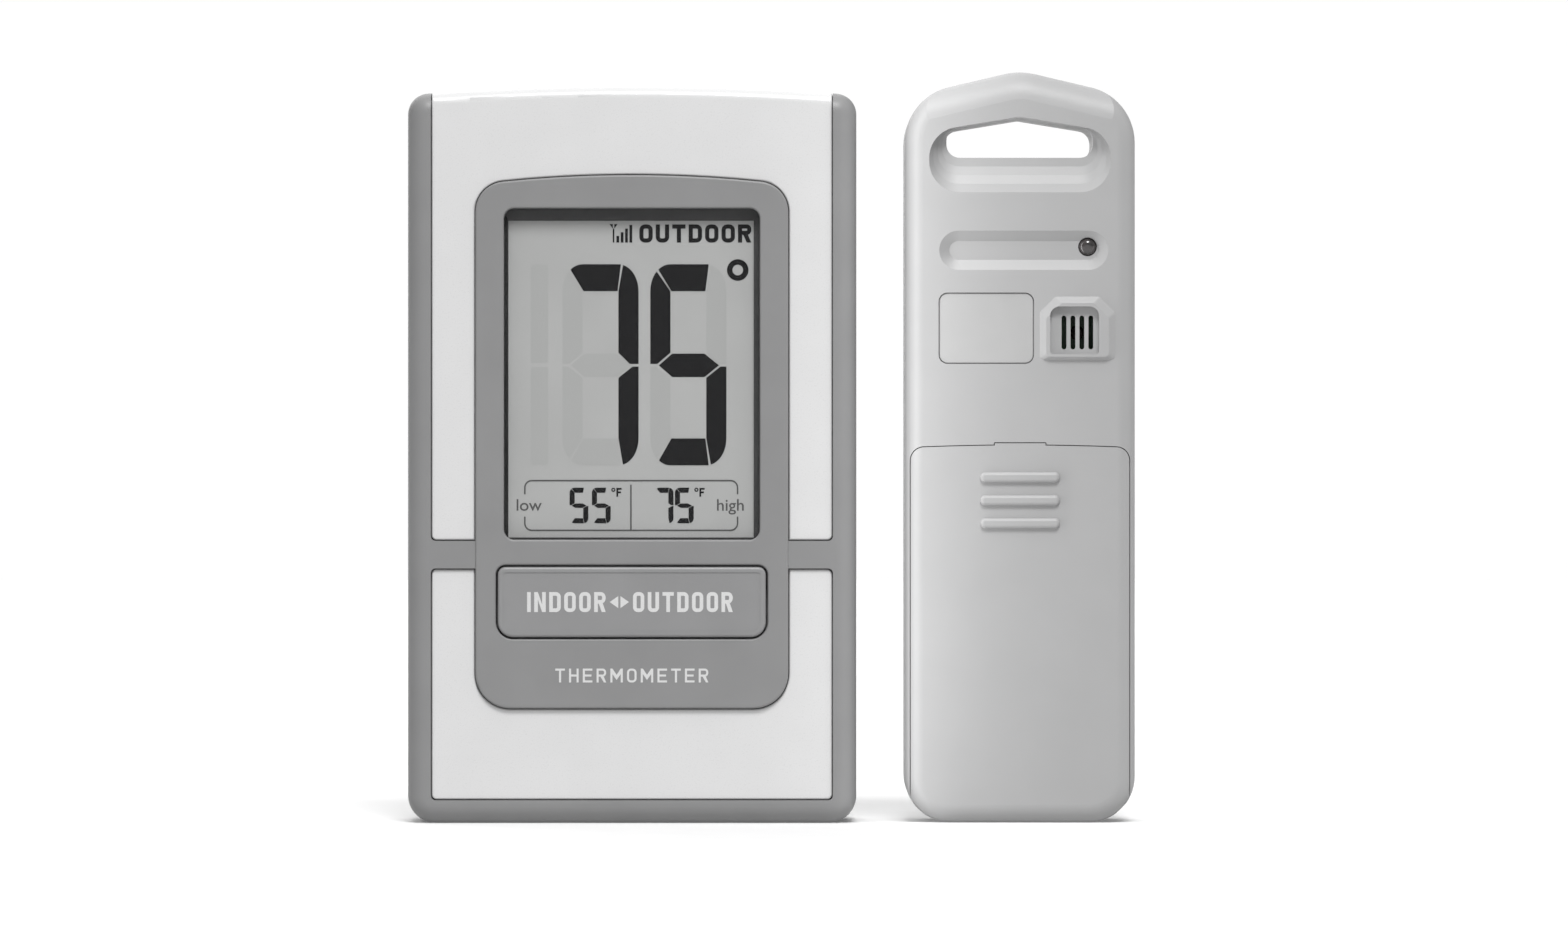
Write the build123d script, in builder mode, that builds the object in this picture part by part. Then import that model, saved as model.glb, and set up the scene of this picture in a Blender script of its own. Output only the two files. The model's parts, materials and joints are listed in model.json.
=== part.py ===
from build123d import *
import math
import os

# Maximum minimum thermometer: an indoor display unit and its wireless outdoor sensor.
# Both units stand side by side on Z = 0. They face -Y, +X is to the right and +Z is up.
# All sizes are in millimetres. Pairs such as (low, high) are limits along one axis.

os.makedirs("parts", exist_ok=True)

# ---------------------------------------------------------------- overall sizes
DISPLAY_WIDTH = 74.3
DISPLAY_HEIGHT = 122.0
SENSOR_WIDTH = 38.2
SENSOR_HEIGHT = 124.4
UNIT_GAP = 8.0
DISPLAY_X = -(SENSOR_WIDTH + UNIT_GAP) / 2
SENSOR_X = (DISPLAY_WIDTH + UNIT_GAP) / 2

# ---------------------------------------------------------------- display unit: depths, front to back
BUTTON_FACE = -12.5
BEZEL_FACE = -12.1
RAIL_FACE = -11.7
PANEL_FACE = -11.2
LENS_SEAT = -10.7
PANEL_SEAT = -10.0
LENS_BACK = -9.7
LCD_FACE = -9.2
WALL_BACK = -8.6
BOARD_FRONT = -5.4
BOARD_BACK = -4.2
DISPLAY_SPLIT = -1.0
SEAM_WIDTH = 0.35
SEAM_DEPTH = 0.25
REAR_WALL_FRONT = 10.1
DISPLAY_BACK = 12.5

# ---------------------------------------------------------------- display unit: front layout
DISPLAY_ARCH_RISE = 1.44
DISPLAY_TOP_RADIUS = 3.5
DISPLAY_FOOT_RADIUS = 4.5
DISPLAY_WALL = 2.4
RAIL_ROUND = 3.3
REAR_ROUND = 3.0

PANEL_SPAN = 66.5
PANEL_GAP = 0.15
PANEL_CORNER = 0.8
PANEL_EDGE_ROUND = 0.3
LOWER_PANEL_Z = (3.8, 42.15)
UPPER_PANEL_BOTTOM = 46.7
PANEL_WRAP = 1.2
PANEL_WRAP_ROUND = 2.0

BEZEL_WIDTH = 51.74
BEZEL_Z = (19.0, 107.2)
BEZEL_ARCH_RISE = 1.6
BEZEL_TOP_RADIUS = 5.0
BEZEL_FOOT_RADIUS = 5.8
BEZEL_EDGE_ROUND = 0.35

WINDOW_WIDTH = 42.3
WINDOW_Z = (46.9, 101.7)
WINDOW_RADIUS = 1.7
LENS_WIDTH = 46.8
LENS_Z = (45.1, 103.6)
LENS_FIT = 0.2

# The dark mask round the glass is wider at the top and on the right.
MASK_X = (-20.5, 20.15)
MASK_Z = (47.25, 99.7)

BUTTON_WIDTH = 44.3
BUTTON_Z = (30.8, 42.4)
BUTTON_TOP_RADIUS = 1.3
BUTTON_FOOT_RADIUS = 2.5
BUTTON_GAP = 0.3
BUTTON_TRAVEL = 0.5
BUTTON_FLANGE = 1.0
BUTTON_WALL = 1.4
BUTTON_RIM = 0.9
BUTTON_DISH = 0.12
BUTTON_FLANGE_Y = (-8.3, -7.5)
BUTTON_POST_BACK = -8.2

# ---------------------------------------------------------------- display unit: inside and back
CASE_SCREW_AT = [(-31.3, 9.0), (31.3, 9.0), (-31.3, 112.5), (31.3, 112.5)]
BOARD_SCREW_AT = [(-22.0, 15.0), (22.0, 15.0), (-22.0, 109.0), (22.0, 109.0)]
BOARD_WIDTH = 53.0
BOARD_Z = (11.0, 113.0)
SCREW_FIT = 0.05

CELL_RADIUS = 7.1
CELL_LENGTH = 50.5
CELL_NUB_RADIUS = 2.7
CELL_NUB_LENGTH = 1.2
CELL_PITCH = 14.8
CELL_Y = 3.8
TRAY_MIDDLE = 73.5
TRAY_INSIDE = 56.0
TRAY_WALL = 1.2
TRAY_Z = (TRAY_MIDDLE - 14.9, TRAY_MIDDLE + 14.9)
TRAY_Y = (-4.0, -3.4)
CONTACT_THICKNESS = 0.5
WIRE_RADIUS = 0.3
SPRING_RADIUS = 3.8
SPRING_TAPER = 18

DOOR_WIDTH = 60.4
DOOR_Y = (11.2, 12.5)
DOOR_Z = (56.2, 90.8)
DOOR_HINGE_Y = 11.6
DOOR_HINGE_Z = 56.85
DOOR_PIN_RADIUS = 0.45
PIN_CLEARANCE = 0.05
MOVING_GAP = 0.3

LEG_WIDTH = 30.6
LEG_Y = (10.0, 12.2)
LEG_Z = (3.9, 50.6)
LEG_HINGE_Y = 11.1
LEG_HINGE_Z = 49.5
LEG_PIN_RADIUS = 0.9
LEG_PIN_LENGTH = 1.6

KEYHOLE_Z = 104.6
KEYHOLE_RADIUS = 4.2
KEYHOLE_SLOT_RADIUS = 2.1
KEYHOLE_SLOT_TOP = 110.5

SWITCH_Z = 95.6
SWITCH_KNOB = (3.0, 2.6)
CHANNEL_SWITCH_X = DISPLAY_X - 13.0
UNIT_SWITCH_X = DISPLAY_X + 13.0
CHANNEL_TRAVEL = 4.0
UNIT_TRAVEL = 2.0

# ---------------------------------------------------------------- sensor unit
SENSOR_FRONT = -10.0
SENSOR_SPLIT = 1.0
SENSOR_BACK = 10.0
SENSOR_ROUND = 3.0
SENSOR_REAR_ROUND = 2.2
SENSOR_WALL = 2.0
SENSOR_WALL_BACK = -8.0
SENSOR_REAR_WALL_FRONT = 8.6
ROOF_ANGLE = 13.3
ROOF_RADIUS = 11.3
ROOF_RIDGE = SENSOR_HEIGHT + ROOF_RADIUS * (1 / math.cos(math.radians(ROOF_ANGLE)) - 1)
RIDGE_CENTRE = Vector(SENSOR_X, SENSOR_FRONT, SENSOR_HEIGHT - ROOF_RADIUS)
ROOF_EDGE = (5.4, 4.2)
ROOF_EDGE_REACH = (5.5, 4.25)
SHOULDER_RADIUS = 9.5
SENSOR_FOOT_RADIUS = 7.6
ROOM_Z = (64.0, 104.5)

LOOP_WIDTH = 24.3
LOOP_Z = (110.2, 114.9, 116.9)
LOOP_RADIUS = 2.2
COVE_REACH = 2.9
COVE_DEPTH = 2.6
COVE_STEPS = 4

PILL_X = SENSOR_X + 0.6
PILL_Z = 94.8
PILL_SIZE = (28.0, 6.5)
PILL_BEVEL = 1.7
PILL_DEPTH = 1.1
LED_X = SENSOR_X + 11.2
LED_Z = 95.4
LED_RADIUS = 1.5

PLATE_X = SENSOR_X - 5.6
PLATE_Z = 81.9
PLATE_SIZE = (15.8, 11.8)
PLATE_RADIUS = 1.5
PLATE_RECESS = 0.7
PLATE_THICKNESS = 0.5
PLATE_GAP = 0.1

SCOOP_X = SENSOR_X + 9.5
SCOOP_WIDTH = 13.0
SCOOP_Z = (76.5, 87.4)
SCOOP_FACE = -10.8
SCOOP_BEVEL = (1.3, 0.6, 1.3)
SCOOP_RIM_ROUND = 0.25
SCOOP_RECESS_X = SCOOP_X - 0.5
SCOOP_CUT = 2.6
SCOOP_RECESS_WIDTH = 8.1
SCOOP_RECESS_Z = (77.6, 85.5)
SCOOP_FLOOR = -9.5
VENT_SLOT = (0.8, 5.6)
VENT_PITCH = 1.48
VENT_Z = 81.2
VENT_COUNT = 4

COVER_WIDTH = 36.2
COVER_SHOULDER = 62.1
COVER_TOP = 62.5
COVER_CORNER = 2.2
COVER_TAB = (8.4, 0.36)
COVER_GAP = 0.15
COVER_BACK = -8.2
COVER_SEAT = -7.9
RIB_SIZE = (13.2, 1.75)
RIB_Z = [57.2, 53.4, 49.6]
RIB_HEIGHT = 0.8
RIB_ROUND = 0.6
RAIL_NECK_X = 16.8
RAIL_NECK = 0.8
RAIL_HOOK = 0.6
RAIL_Z = (10.0, 57.0)

SENSOR_TRAY_WIDTH = 29.8
SENSOR_TRAY_Z = (3.0, 60.0)
SENSOR_TRAY_BACK = 7.35
SENSOR_SCREW_AT = [(-14.4, 106.8), (14.4, 106.8), (-14.4, 67.0), (14.4, 67.0)]
SENSOR_POST_RADIUS = 3.1
SENSOR_BOARD_Y = (4.0, 5.2)
SENSOR_BOARD_WIDTH = 31.0
SENSOR_BOARD_Z = (71.0, 103.0)
SENSOR_BOARD_SCREW_AT = [(-13.2, 73.2), (13.2, 73.2), (-13.2, 100.8), (13.2, 100.8)]
SENSOR_SWITCH_X = SENSOR_X - 4.0
SENSOR_SWITCH_Z = 80.0
SENSOR_CHANNEL_TRAVEL = 4.0

BEYOND = 3.0


# ---------------------------------------------------------------- helpers
def facing(y, x=0.0, z=0.0):
    """A sketch plane at depth y that faces the front; extruding it comes forward, towards -Y."""
    return Plane(origin=(x, y, z), x_dir=(1, 0, 0), z_dir=(0, -1, 0))


def middle(limits):
    """The midpoint of a (low, high) pair."""
    return (limits[0] + limits[1]) / 2


def length(limits):
    """The distance between the two ends of a (low, high) pair."""
    return limits[1] - limits[0]


def block(x, width, y, z, mode=Mode.ADD):
    """A block centred on x, between two depths and two heights, in the part being built."""
    with Locations((x, middle(y), middle(z))):
        Box(width, length(y), length(z), mode=mode)


def rod(x, z, radius, y, mode=Mode.ADD):
    """A round bar along Y between two depths, in the part being built."""
    with Locations((x, middle(y), z)):
        Cylinder(radius, length(y), rotation=(90, 0, 0), mode=mode)


def cross_rod(x, y, z, radius, width, mode=Mode.ADD):
    """A round bar along X, centred on x, in the part being built."""
    with Locations((x, y, z)):
        Cylinder(radius, width, rotation=(0, 90, 0), mode=mode)


def arched_outline(width, z, rise, foot_radius, top_radius, grow=0.0):
    """An upright outline with a shallow arch on top and rounded corners, grown or shrunk evenly."""
    half = width / 2
    shoulder = z[1] - rise
    with BuildSketch() as outline:
        with BuildLine():
            Polyline((-half, shoulder), (-half, z[0]), (half, z[0]), (half, shoulder))
            ThreePointArc((half, shoulder), (0, z[1]), (-half, shoulder))
        make_face()
        fillet(outline.vertices().group_by(Axis.Y)[0], foot_radius)
        fillet(outline.vertices().group_by(Axis.Y)[-1], top_radius)
        if grow:
            offset(amount=grow)
    return outline.sketch


def display_outline(grow=0.0):
    """The display unit seen from the front."""
    return arched_outline(
        DISPLAY_WIDTH, (0, DISPLAY_HEIGHT), DISPLAY_ARCH_RISE, DISPLAY_FOOT_RADIUS, DISPLAY_TOP_RADIUS, grow
    )


def bezel_outline(grow=0.0):
    """The raised bezel round the window and the button."""
    return arched_outline(BEZEL_WIDTH, BEZEL_Z, BEZEL_ARCH_RISE, BEZEL_FOOT_RADIUS, BEZEL_TOP_RADIUS, grow)


def panel_outline(z, grow=0.0):
    """A front panel between the side rails, cut away round the bezel."""
    with BuildSketch() as outline:
        with Locations((0, middle(z))):
            RectangleRounded(PANEL_SPAN + 2 * grow, length(z) + 2 * grow, PANEL_CORNER)
        add(bezel_outline(-grow), mode=Mode.SUBTRACT)
    return outline.sketch


def button_outline(grow=0.0):
    """The wide button, with small upper corners and larger lower ones."""
    with BuildSketch() as outline:
        with Locations((0, middle(BUTTON_Z))):
            Rectangle(BUTTON_WIDTH, length(BUTTON_Z))
        fillet(outline.vertices().group_by(Axis.Y)[0], BUTTON_FOOT_RADIUS)
        fillet(outline.vertices().group_by(Axis.Y)[-1], BUTTON_TOP_RADIUS)
        if grow:
            offset(amount=grow)
    return outline.sketch


def roofed_outline(width, z_low, z_eave, z_ridge, radii, grow=0.0):
    """An upright outline under a two-sided roof; radii are for the foot, the eaves and the ridge."""
    half = width / 2
    foot_radius, eave_radius, ridge_radius = radii
    with BuildSketch() as outline:
        with BuildLine():
            Polyline((0, z_ridge), (half, z_eave), (half, z_low), (-half, z_low), (-half, z_eave), close=True)
        make_face()
        fillet(outline.vertices().group_by(Axis.Y)[1], eave_radius)
        fillet(outline.vertices().group_by(Axis.Y)[-1], ridge_radius)
        fillet(outline.vertices().group_by(Axis.Y)[0], foot_radius)
        if grow:
            offset(amount=grow)
    return outline.sketch


def sensor_outline(grow=0.0):
    """The sensor seen from the front: a blunt roof ridge, round shoulders and a rounded foot."""
    eave = ROOF_RIDGE - SENSOR_WIDTH / 2 * math.tan(math.radians(ROOF_ANGLE))
    radii = (SENSOR_FOOT_RADIUS, SHOULDER_RADIUS, ROOF_RADIUS)
    return roofed_outline(SENSOR_WIDTH, 0, eave, ROOF_RIDGE, radii, grow)


def loop_outline(grow=0.0):
    """The hanging loop's opening, whose upper edge follows the roof."""
    radii = (LOOP_RADIUS, LOOP_RADIUS, LOOP_RADIUS)
    return roofed_outline(LOOP_WIDTH, LOOP_Z[0], LOOP_Z[1], LOOP_Z[2], radii, grow)


def cove_slice(step):
    """One layer of the cove in front of the loop; its upper edge stays level with the loop's."""
    with BuildPart() as layer:
        for share in (1 - step / COVE_STEPS, 1 - (step + 1) / COVE_STEPS):
            reach = COVE_REACH * share
            depth = COVE_DEPTH * (1 - share**2)
            with BuildSketch(facing(SENSOR_FRONT + depth, SENSOR_X, -reach)):
                add(loop_outline(reach))
        loft()
    return layer.part


def roof_edge_plane(side):
    """Across the roof's front edge where one slope meets the blunt ridge; x points out, y to the front."""
    angle = math.radians(ROOF_ANGLE)
    outward = Vector(side * math.sin(angle), 0, math.cos(angle))
    along = Vector(math.cos(angle), 0, -side * math.sin(angle))
    return Plane(origin=RIDGE_CENTRE + outward * ROOF_RADIUS, x_dir=outward, z_dir=along)


def roof_edge_profile():
    """What the soft front edge takes off the roof in cross-section: all outside a quarter of an ellipse."""
    inward, back = ROOF_EDGE
    reach_in, reach_back = ROOF_EDGE_REACH
    with BuildSketch() as profile:
        with BuildLine():
            EllipticalCenterArc((-inward, -back), reach_in, reach_back, arc_size=90)
            Polyline(
                (-inward, reach_back - back),
                (-inward, BEYOND),
                (BEYOND, BEYOND),
                (BEYOND, -back),
                (reach_in - inward, -back),
            )
        make_face()
    return profile.sketch


def roof_edge_cut():
    """The soft edge's cut along both slopes and round the ridge between them."""
    with BuildPart() as cut:
        for side in (-1, 1):
            with BuildSketch(roof_edge_plane(side)):
                add(roof_edge_profile())
            extrude(amount=side * SENSOR_WIDTH)
        with BuildSketch(roof_edge_plane(-1)):
            add(roof_edge_profile())
        revolve(axis=Axis(RIDGE_CENTRE, (0, 1, 0)), revolution_arc=2 * ROOF_ANGLE)
    return cut.part


def seam_groove(split, x, outside, inside):
    """The fine groove round a rear shell, where it meets the front one."""
    with BuildPart() as groove:
        with BuildSketch(facing(split + SEAM_WIDTH, x)):
            add(outside)
            add(inside, mode=Mode.SUBTRACT)
        extrude(amount=SEAM_WIDTH + BEYOND)
    return groove.part


def sensor_front_blank():
    """The front half of the sensor's outside, back to the joint line, with its edge rounded."""
    with BuildPart() as blank:
        with BuildSketch(facing(SENSOR_SPLIT, SENSOR_X)):
            add(sensor_outline())
        extrude(amount=SENSOR_SPLIT - SENSOR_FRONT)
        fillet(blank.faces().sort_by(Axis.Y)[0].edges(), SENSOR_ROUND)
        add(roof_edge_cut(), mode=Mode.SUBTRACT)
    return blank.part


def scoop_outline(half, z):
    """The vent scoop seen from the front, with sloped upper corners."""
    with BuildSketch() as outline:
        with Locations((0, middle(z))):
            Rectangle(2 * half, length(z))
        chamfer(outline.vertices().group_by(Axis.Y)[-1], SCOOP_CUT)
        fillet(outline.vertices(), 0.8)
    return outline.sketch


def cover_outline(grow=0.0):
    """The sensor's battery cover, with a small tab in the middle of its arched upper edge."""
    half = COVER_WIDTH / 2
    with BuildSketch() as outline:
        with BuildLine():
            Polyline((-half, COVER_SHOULDER), (-half, -BEYOND), (half, -BEYOND), (half, COVER_SHOULDER))
            ThreePointArc((half, COVER_SHOULDER), (0, COVER_TOP), (-half, COVER_SHOULDER))
        make_face()
        fillet(outline.vertices().group_by(Axis.Y)[-1], COVER_CORNER)
        with Locations((0, COVER_TOP + COVER_TAB[1])):
            Rectangle(COVER_TAB[0], 2 * COVER_TAB[1] + 1, align=(Align.CENTER, Align.MAX))
        if grow:
            offset(amount=grow)
    return outline.sketch


def cell(ends_at, direction):
    """A battery cell whose nub touches the point ends_at and whose body lies along direction."""
    with BuildPart() as shape:
        with BuildSketch(Plane(origin=ends_at, z_dir=direction)):
            Circle(CELL_NUB_RADIUS)
        extrude(amount=CELL_NUB_LENGTH)
        with BuildSketch(Plane(origin=ends_at, z_dir=direction).offset(CELL_NUB_LENGTH)):
            Circle(CELL_RADIUS)
        extrude(amount=CELL_LENGTH - CELL_NUB_LENGTH)
        fillet(shape.edges().filter_by(GeomType.CIRCLE).sort_by(SortBy.RADIUS)[-2:], 0.5)
    return shape.part


def cell_spring(start, direction, height, pitch):
    """A conical spring that stands on a contact plate and presses on a cell's flat end."""
    with BuildPart() as shape:
        outward = Vector(direction)
        foot = Vector(start) + outward * WIRE_RADIUS
        with BuildLine() as path:
            Helix(
                pitch,
                height - 2 * WIRE_RADIUS,
                SPRING_RADIUS,
                center=foot,
                direction=direction,
                cone_angle=-SPRING_TAPER,
            )
        with BuildSketch(Plane(origin=path.line @ 0, x_dir=-outward, z_dir=path.line % 0)):
            Circle(WIRE_RADIUS)
        sweep(is_frenet=True)
    return shape.part


def antenna_coil(start, direction, coil_length):
    """An air-wound aerial coil of stiff wire."""
    with BuildPart() as shape:
        with BuildLine() as path:
            Helix(1.4, coil_length, 1.7, center=start, direction=direction)
        with BuildSketch(Plane(origin=path.line @ 0, z_dir=path.line % 0)):
            Circle(WIRE_RADIUS)
        sweep(is_frenet=True)
    return shape.part


def add_screws(places, x, head_y, head_radius, shank_y, shank_radius):
    """Cross-head screws along Y, with the head towards the back."""
    for place_x, place_z in places:
        rod(x + place_x, place_z, head_radius, head_y)
        rod(x + place_x, place_z, shank_radius, shank_y)
        cross_y = (head_y[1] - 0.7, head_y[1] + BEYOND)
        for cross_width, cross_height in ((head_radius * 1.1, 0.5), (0.5, head_radius * 1.1)):
            cross_z = (place_z - cross_height / 2, place_z + cross_height / 2)
            block(x + place_x, cross_width, cross_y, cross_z, Mode.SUBTRACT)


def add_slide_switch(x, z, y, travel):
    """A slide switch's metal-can body with a slot that its knob runs in."""
    block(x + travel / 2, travel + 7.0, y, (z - 2.8, z + 2.8))
    slot_y = (y[1] - 1.4, y[1] + BEYOND)
    block(x + travel / 2, travel + 2.0 + 2 * MOVING_GAP, slot_y, (z - 1.3, z + 1.3), Mode.SUBTRACT)


def add_switch_knob(x, z, root_y, handle_y):
    """A slide switch's knob: a root inside the switch and a ribbed handle outside it."""
    block(x, 2.0, root_y, (z - 1.0, z + 1.0))
    block(x, SWITCH_KNOB[0], handle_y, (z - SWITCH_KNOB[1] / 2, z + SWITCH_KNOB[1] / 2))
    for step in (-0.8, 0.0, 0.8):
        block(x + step, 0.3, (handle_y[1] - 0.4, handle_y[1] + BEYOND), (z - 2, z + 2), Mode.SUBTRACT)


# ================================================================ display unit
# ---------------------------------------------------------------- front case
with BuildPart() as front_case:
    with BuildSketch(facing(DISPLAY_SPLIT, DISPLAY_X)):
        add(display_outline())
    extrude(amount=DISPLAY_SPLIT - RAIL_FACE)
    fillet(front_case.faces().sort_by(Axis.Y)[0].edges(), RAIL_ROUND)
    # The inside, open at the back.
    with BuildSketch(facing(DISPLAY_SPLIT, DISPLAY_X)):
        add(display_outline(-DISPLAY_WALL))
    extrude(amount=DISPLAY_SPLIT - WALL_BACK, mode=Mode.SUBTRACT)
    # Seats for the two front panels, on both sides of the cross-bar.
    with BuildSketch(facing(PANEL_SEAT, DISPLAY_X)):
        add(panel_outline(LOWER_PANEL_Z))
        add(panel_outline((UPPER_PANEL_BOTTOM, DISPLAY_HEIGHT + BEYOND)))
    extrude(amount=PANEL_SEAT - BEZEL_FACE + BEYOND, mode=Mode.SUBTRACT)
    # The upper panel wraps over the top, so the case is lower there between the rails.
    with BuildSketch(facing(DISPLAY_SPLIT, DISPLAY_X)):
        with Locations((0, DISPLAY_HEIGHT)):
            Rectangle(PANEL_SPAN, 4 * BEYOND)
        add(display_outline(-PANEL_WRAP), mode=Mode.SUBTRACT)
    extrude(amount=DISPLAY_SPLIT - BEZEL_FACE + BEYOND, mode=Mode.SUBTRACT)
    # The raised bezel.
    with BuildSketch(facing(PANEL_SEAT, DISPLAY_X)):
        add(bezel_outline())
    extrude(amount=PANEL_SEAT - BEZEL_FACE)
    # Window and button openings, then a soft edge all round the bezel and both openings.
    with BuildSketch(facing(WALL_BACK, DISPLAY_X)):
        with Locations((0, middle(WINDOW_Z))):
            RectangleRounded(WINDOW_WIDTH, length(WINDOW_Z), WINDOW_RADIUS)
        add(button_outline(BUTTON_GAP))
    extrude(amount=WALL_BACK - BEZEL_FACE + BEYOND, mode=Mode.SUBTRACT)
    fillet(front_case.faces().sort_by(Axis.Y)[0].edges(), BEZEL_EDGE_ROUND)
    # The pocket that the lens drops into from behind.
    lens_pocket_z = (LENS_Z[0] - LENS_FIT, LENS_Z[1] + LENS_FIT)
    block(DISPLAY_X, LENS_WIDTH + 2 * LENS_FIT, (LENS_SEAT, WALL_BACK + 0.1), lens_pocket_z, Mode.SUBTRACT)
    # Bosses for the case screws and standoffs for the board.
    for boss_x, boss_z in CASE_SCREW_AT:
        rod(DISPLAY_X + boss_x, boss_z, 2.8, (WALL_BACK - 0.5, DISPLAY_SPLIT))
        rod(DISPLAY_X + boss_x, boss_z, 1.1 + SCREW_FIT, (-7.4, DISPLAY_SPLIT), Mode.SUBTRACT)
    for boss_x, boss_z in BOARD_SCREW_AT:
        rod(DISPLAY_X + boss_x, boss_z, 2.2, (WALL_BACK - 0.5, BOARD_FRONT))
        rod(DISPLAY_X + boss_x, boss_z, 0.9 + SCREW_FIT, (-9.0, BOARD_FRONT), Mode.SUBTRACT)
front_case.part.label = "front_case"
export_step(front_case.part, "parts/front_case.step")

# ---------------------------------------------------------------- front panels
with BuildPart() as lower_panel:
    with BuildSketch(facing(PANEL_SEAT, DISPLAY_X)):
        add(panel_outline(LOWER_PANEL_Z, -PANEL_GAP))
    extrude(amount=PANEL_SEAT - PANEL_FACE)
    fillet(lower_panel.faces().sort_by(Axis.Y)[0].edges(), PANEL_EDGE_ROUND)
lower_panel.part.label = "lower_panel"
export_step(lower_panel.part, "parts/lower_panel.step")

with BuildPart() as upper_panel:
    upper_panel_z = (UPPER_PANEL_BOTTOM, DISPLAY_HEIGHT + BEYOND)
    with BuildSketch(facing(PANEL_SEAT, DISPLAY_X)):
        add(panel_outline(upper_panel_z, -PANEL_GAP))
        add(display_outline(), mode=Mode.INTERSECT)
    extrude(amount=PANEL_SEAT - PANEL_FACE)
    # The flange that wraps over the top of the case.
    with BuildSketch(facing(DISPLAY_SPLIT, DISPLAY_X)):
        with Locations((0, DISPLAY_HEIGHT)):
            Rectangle(PANEL_SPAN - 2 * PANEL_GAP, 4 * BEYOND)
        add(display_outline(), mode=Mode.INTERSECT)
        add(display_outline(-PANEL_WRAP), mode=Mode.SUBTRACT)
    extrude(amount=DISPLAY_SPLIT - PANEL_SEAT)
    brow = upper_panel.faces().sort_by(Axis.Y)[0].edges().sort_by(Axis.Z)[-1]
    fillet(brow, PANEL_WRAP_ROUND)
    fillet(upper_panel.faces().sort_by(Axis.Y)[0].edges().sort_by(Axis.Z)[:-1], PANEL_EDGE_ROUND)
upper_panel.part.label = "upper_panel"
export_step(upper_panel.part, "parts/upper_panel.step")

# ---------------------------------------------------------------- lens, mask and liquid crystal glass
with BuildPart() as window_lens:
    with BuildSketch(facing(LENS_BACK, DISPLAY_X, middle(LENS_Z))):
        RectangleRounded(LENS_WIDTH, length(LENS_Z), 0.6)
    extrude(amount=LENS_BACK - LENS_SEAT)
window_lens.part.label = "window_lens"
export_step(window_lens.part, "parts/window_lens.step")

GLASS_WIDTH = 43.6
GLASS_Z = (45.7, 102.2)
GLASS_LEDGE = 3.4
FRONT_GLASS_Y = (-9.0, -8.3)
REAR_GLASS_Y = (-8.3, -7.6)
REFLECTOR_Y = (-7.6, -7.4)

with BuildPart() as lcd_bracket:
    block(DISPLAY_X, LENS_WIDTH, (LENS_BACK, BOARD_FRONT), LENS_Z)
    pocket_z = (GLASS_Z[0] - 0.1, GLASS_Z[1] + 0.1)
    block(DISPLAY_X, GLASS_WIDTH + 0.2, (LCD_FACE, BOARD_FRONT), pocket_z, Mode.SUBTRACT)
    mask_width = length(MASK_X)
    block(DISPLAY_X + middle(MASK_X), mask_width, (LENS_BACK, LCD_FACE), MASK_Z, Mode.SUBTRACT)
lcd_bracket.part.label = "lcd_bracket"
export_step(lcd_bracket.part, "parts/lcd_bracket.step")

with BuildPart() as lcd_front_polariser:
    block(DISPLAY_X, GLASS_WIDTH, (LCD_FACE, FRONT_GLASS_Y[0]), (GLASS_Z[0] + 0.6, GLASS_Z[1]))
lcd_front_polariser.part.label = "lcd_front_polariser"
export_step(lcd_front_polariser.part, "parts/lcd_front_polariser.step")

with BuildPart() as lcd_front_glass:
    block(DISPLAY_X, GLASS_WIDTH, FRONT_GLASS_Y, GLASS_Z)
lcd_front_glass.part.label = "lcd_front_glass"
export_step(lcd_front_glass.part, "parts/lcd_front_glass.step")

# The rear glass is shorter, so the front glass shows a ledge of contacts to the board.
with BuildPart() as lcd_rear_glass:
    block(DISPLAY_X, GLASS_WIDTH, REAR_GLASS_Y, (GLASS_Z[0] + GLASS_LEDGE, GLASS_Z[1]))
lcd_rear_glass.part.label = "lcd_rear_glass"
export_step(lcd_rear_glass.part, "parts/lcd_rear_glass.step")

with BuildPart() as lcd_reflector:
    block(DISPLAY_X, GLASS_WIDTH, REFLECTOR_Y, (GLASS_Z[0] + GLASS_LEDGE, GLASS_Z[1]))
lcd_reflector.part.label = "lcd_reflector"
export_step(lcd_reflector.part, "parts/lcd_reflector.step")

with BuildPart() as lcd_contact_strip:
    strip_z = (GLASS_Z[0] + 0.3, GLASS_Z[0] + 2.5)
    block(DISPLAY_X, GLASS_WIDTH - 2.0, (FRONT_GLASS_Y[1], BOARD_FRONT), strip_z)
lcd_contact_strip.part.label = "lcd_contact_strip"
export_step(lcd_contact_strip.part, "parts/lcd_contact_strip.step")

# ---------------------------------------------------------------- button and its switch
SWITCH_CAN_Y = (-7.4, BOARD_FRONT)
PLUNGER_RADIUS = 1.75
PLUNGER_BACK = -6.5

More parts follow.
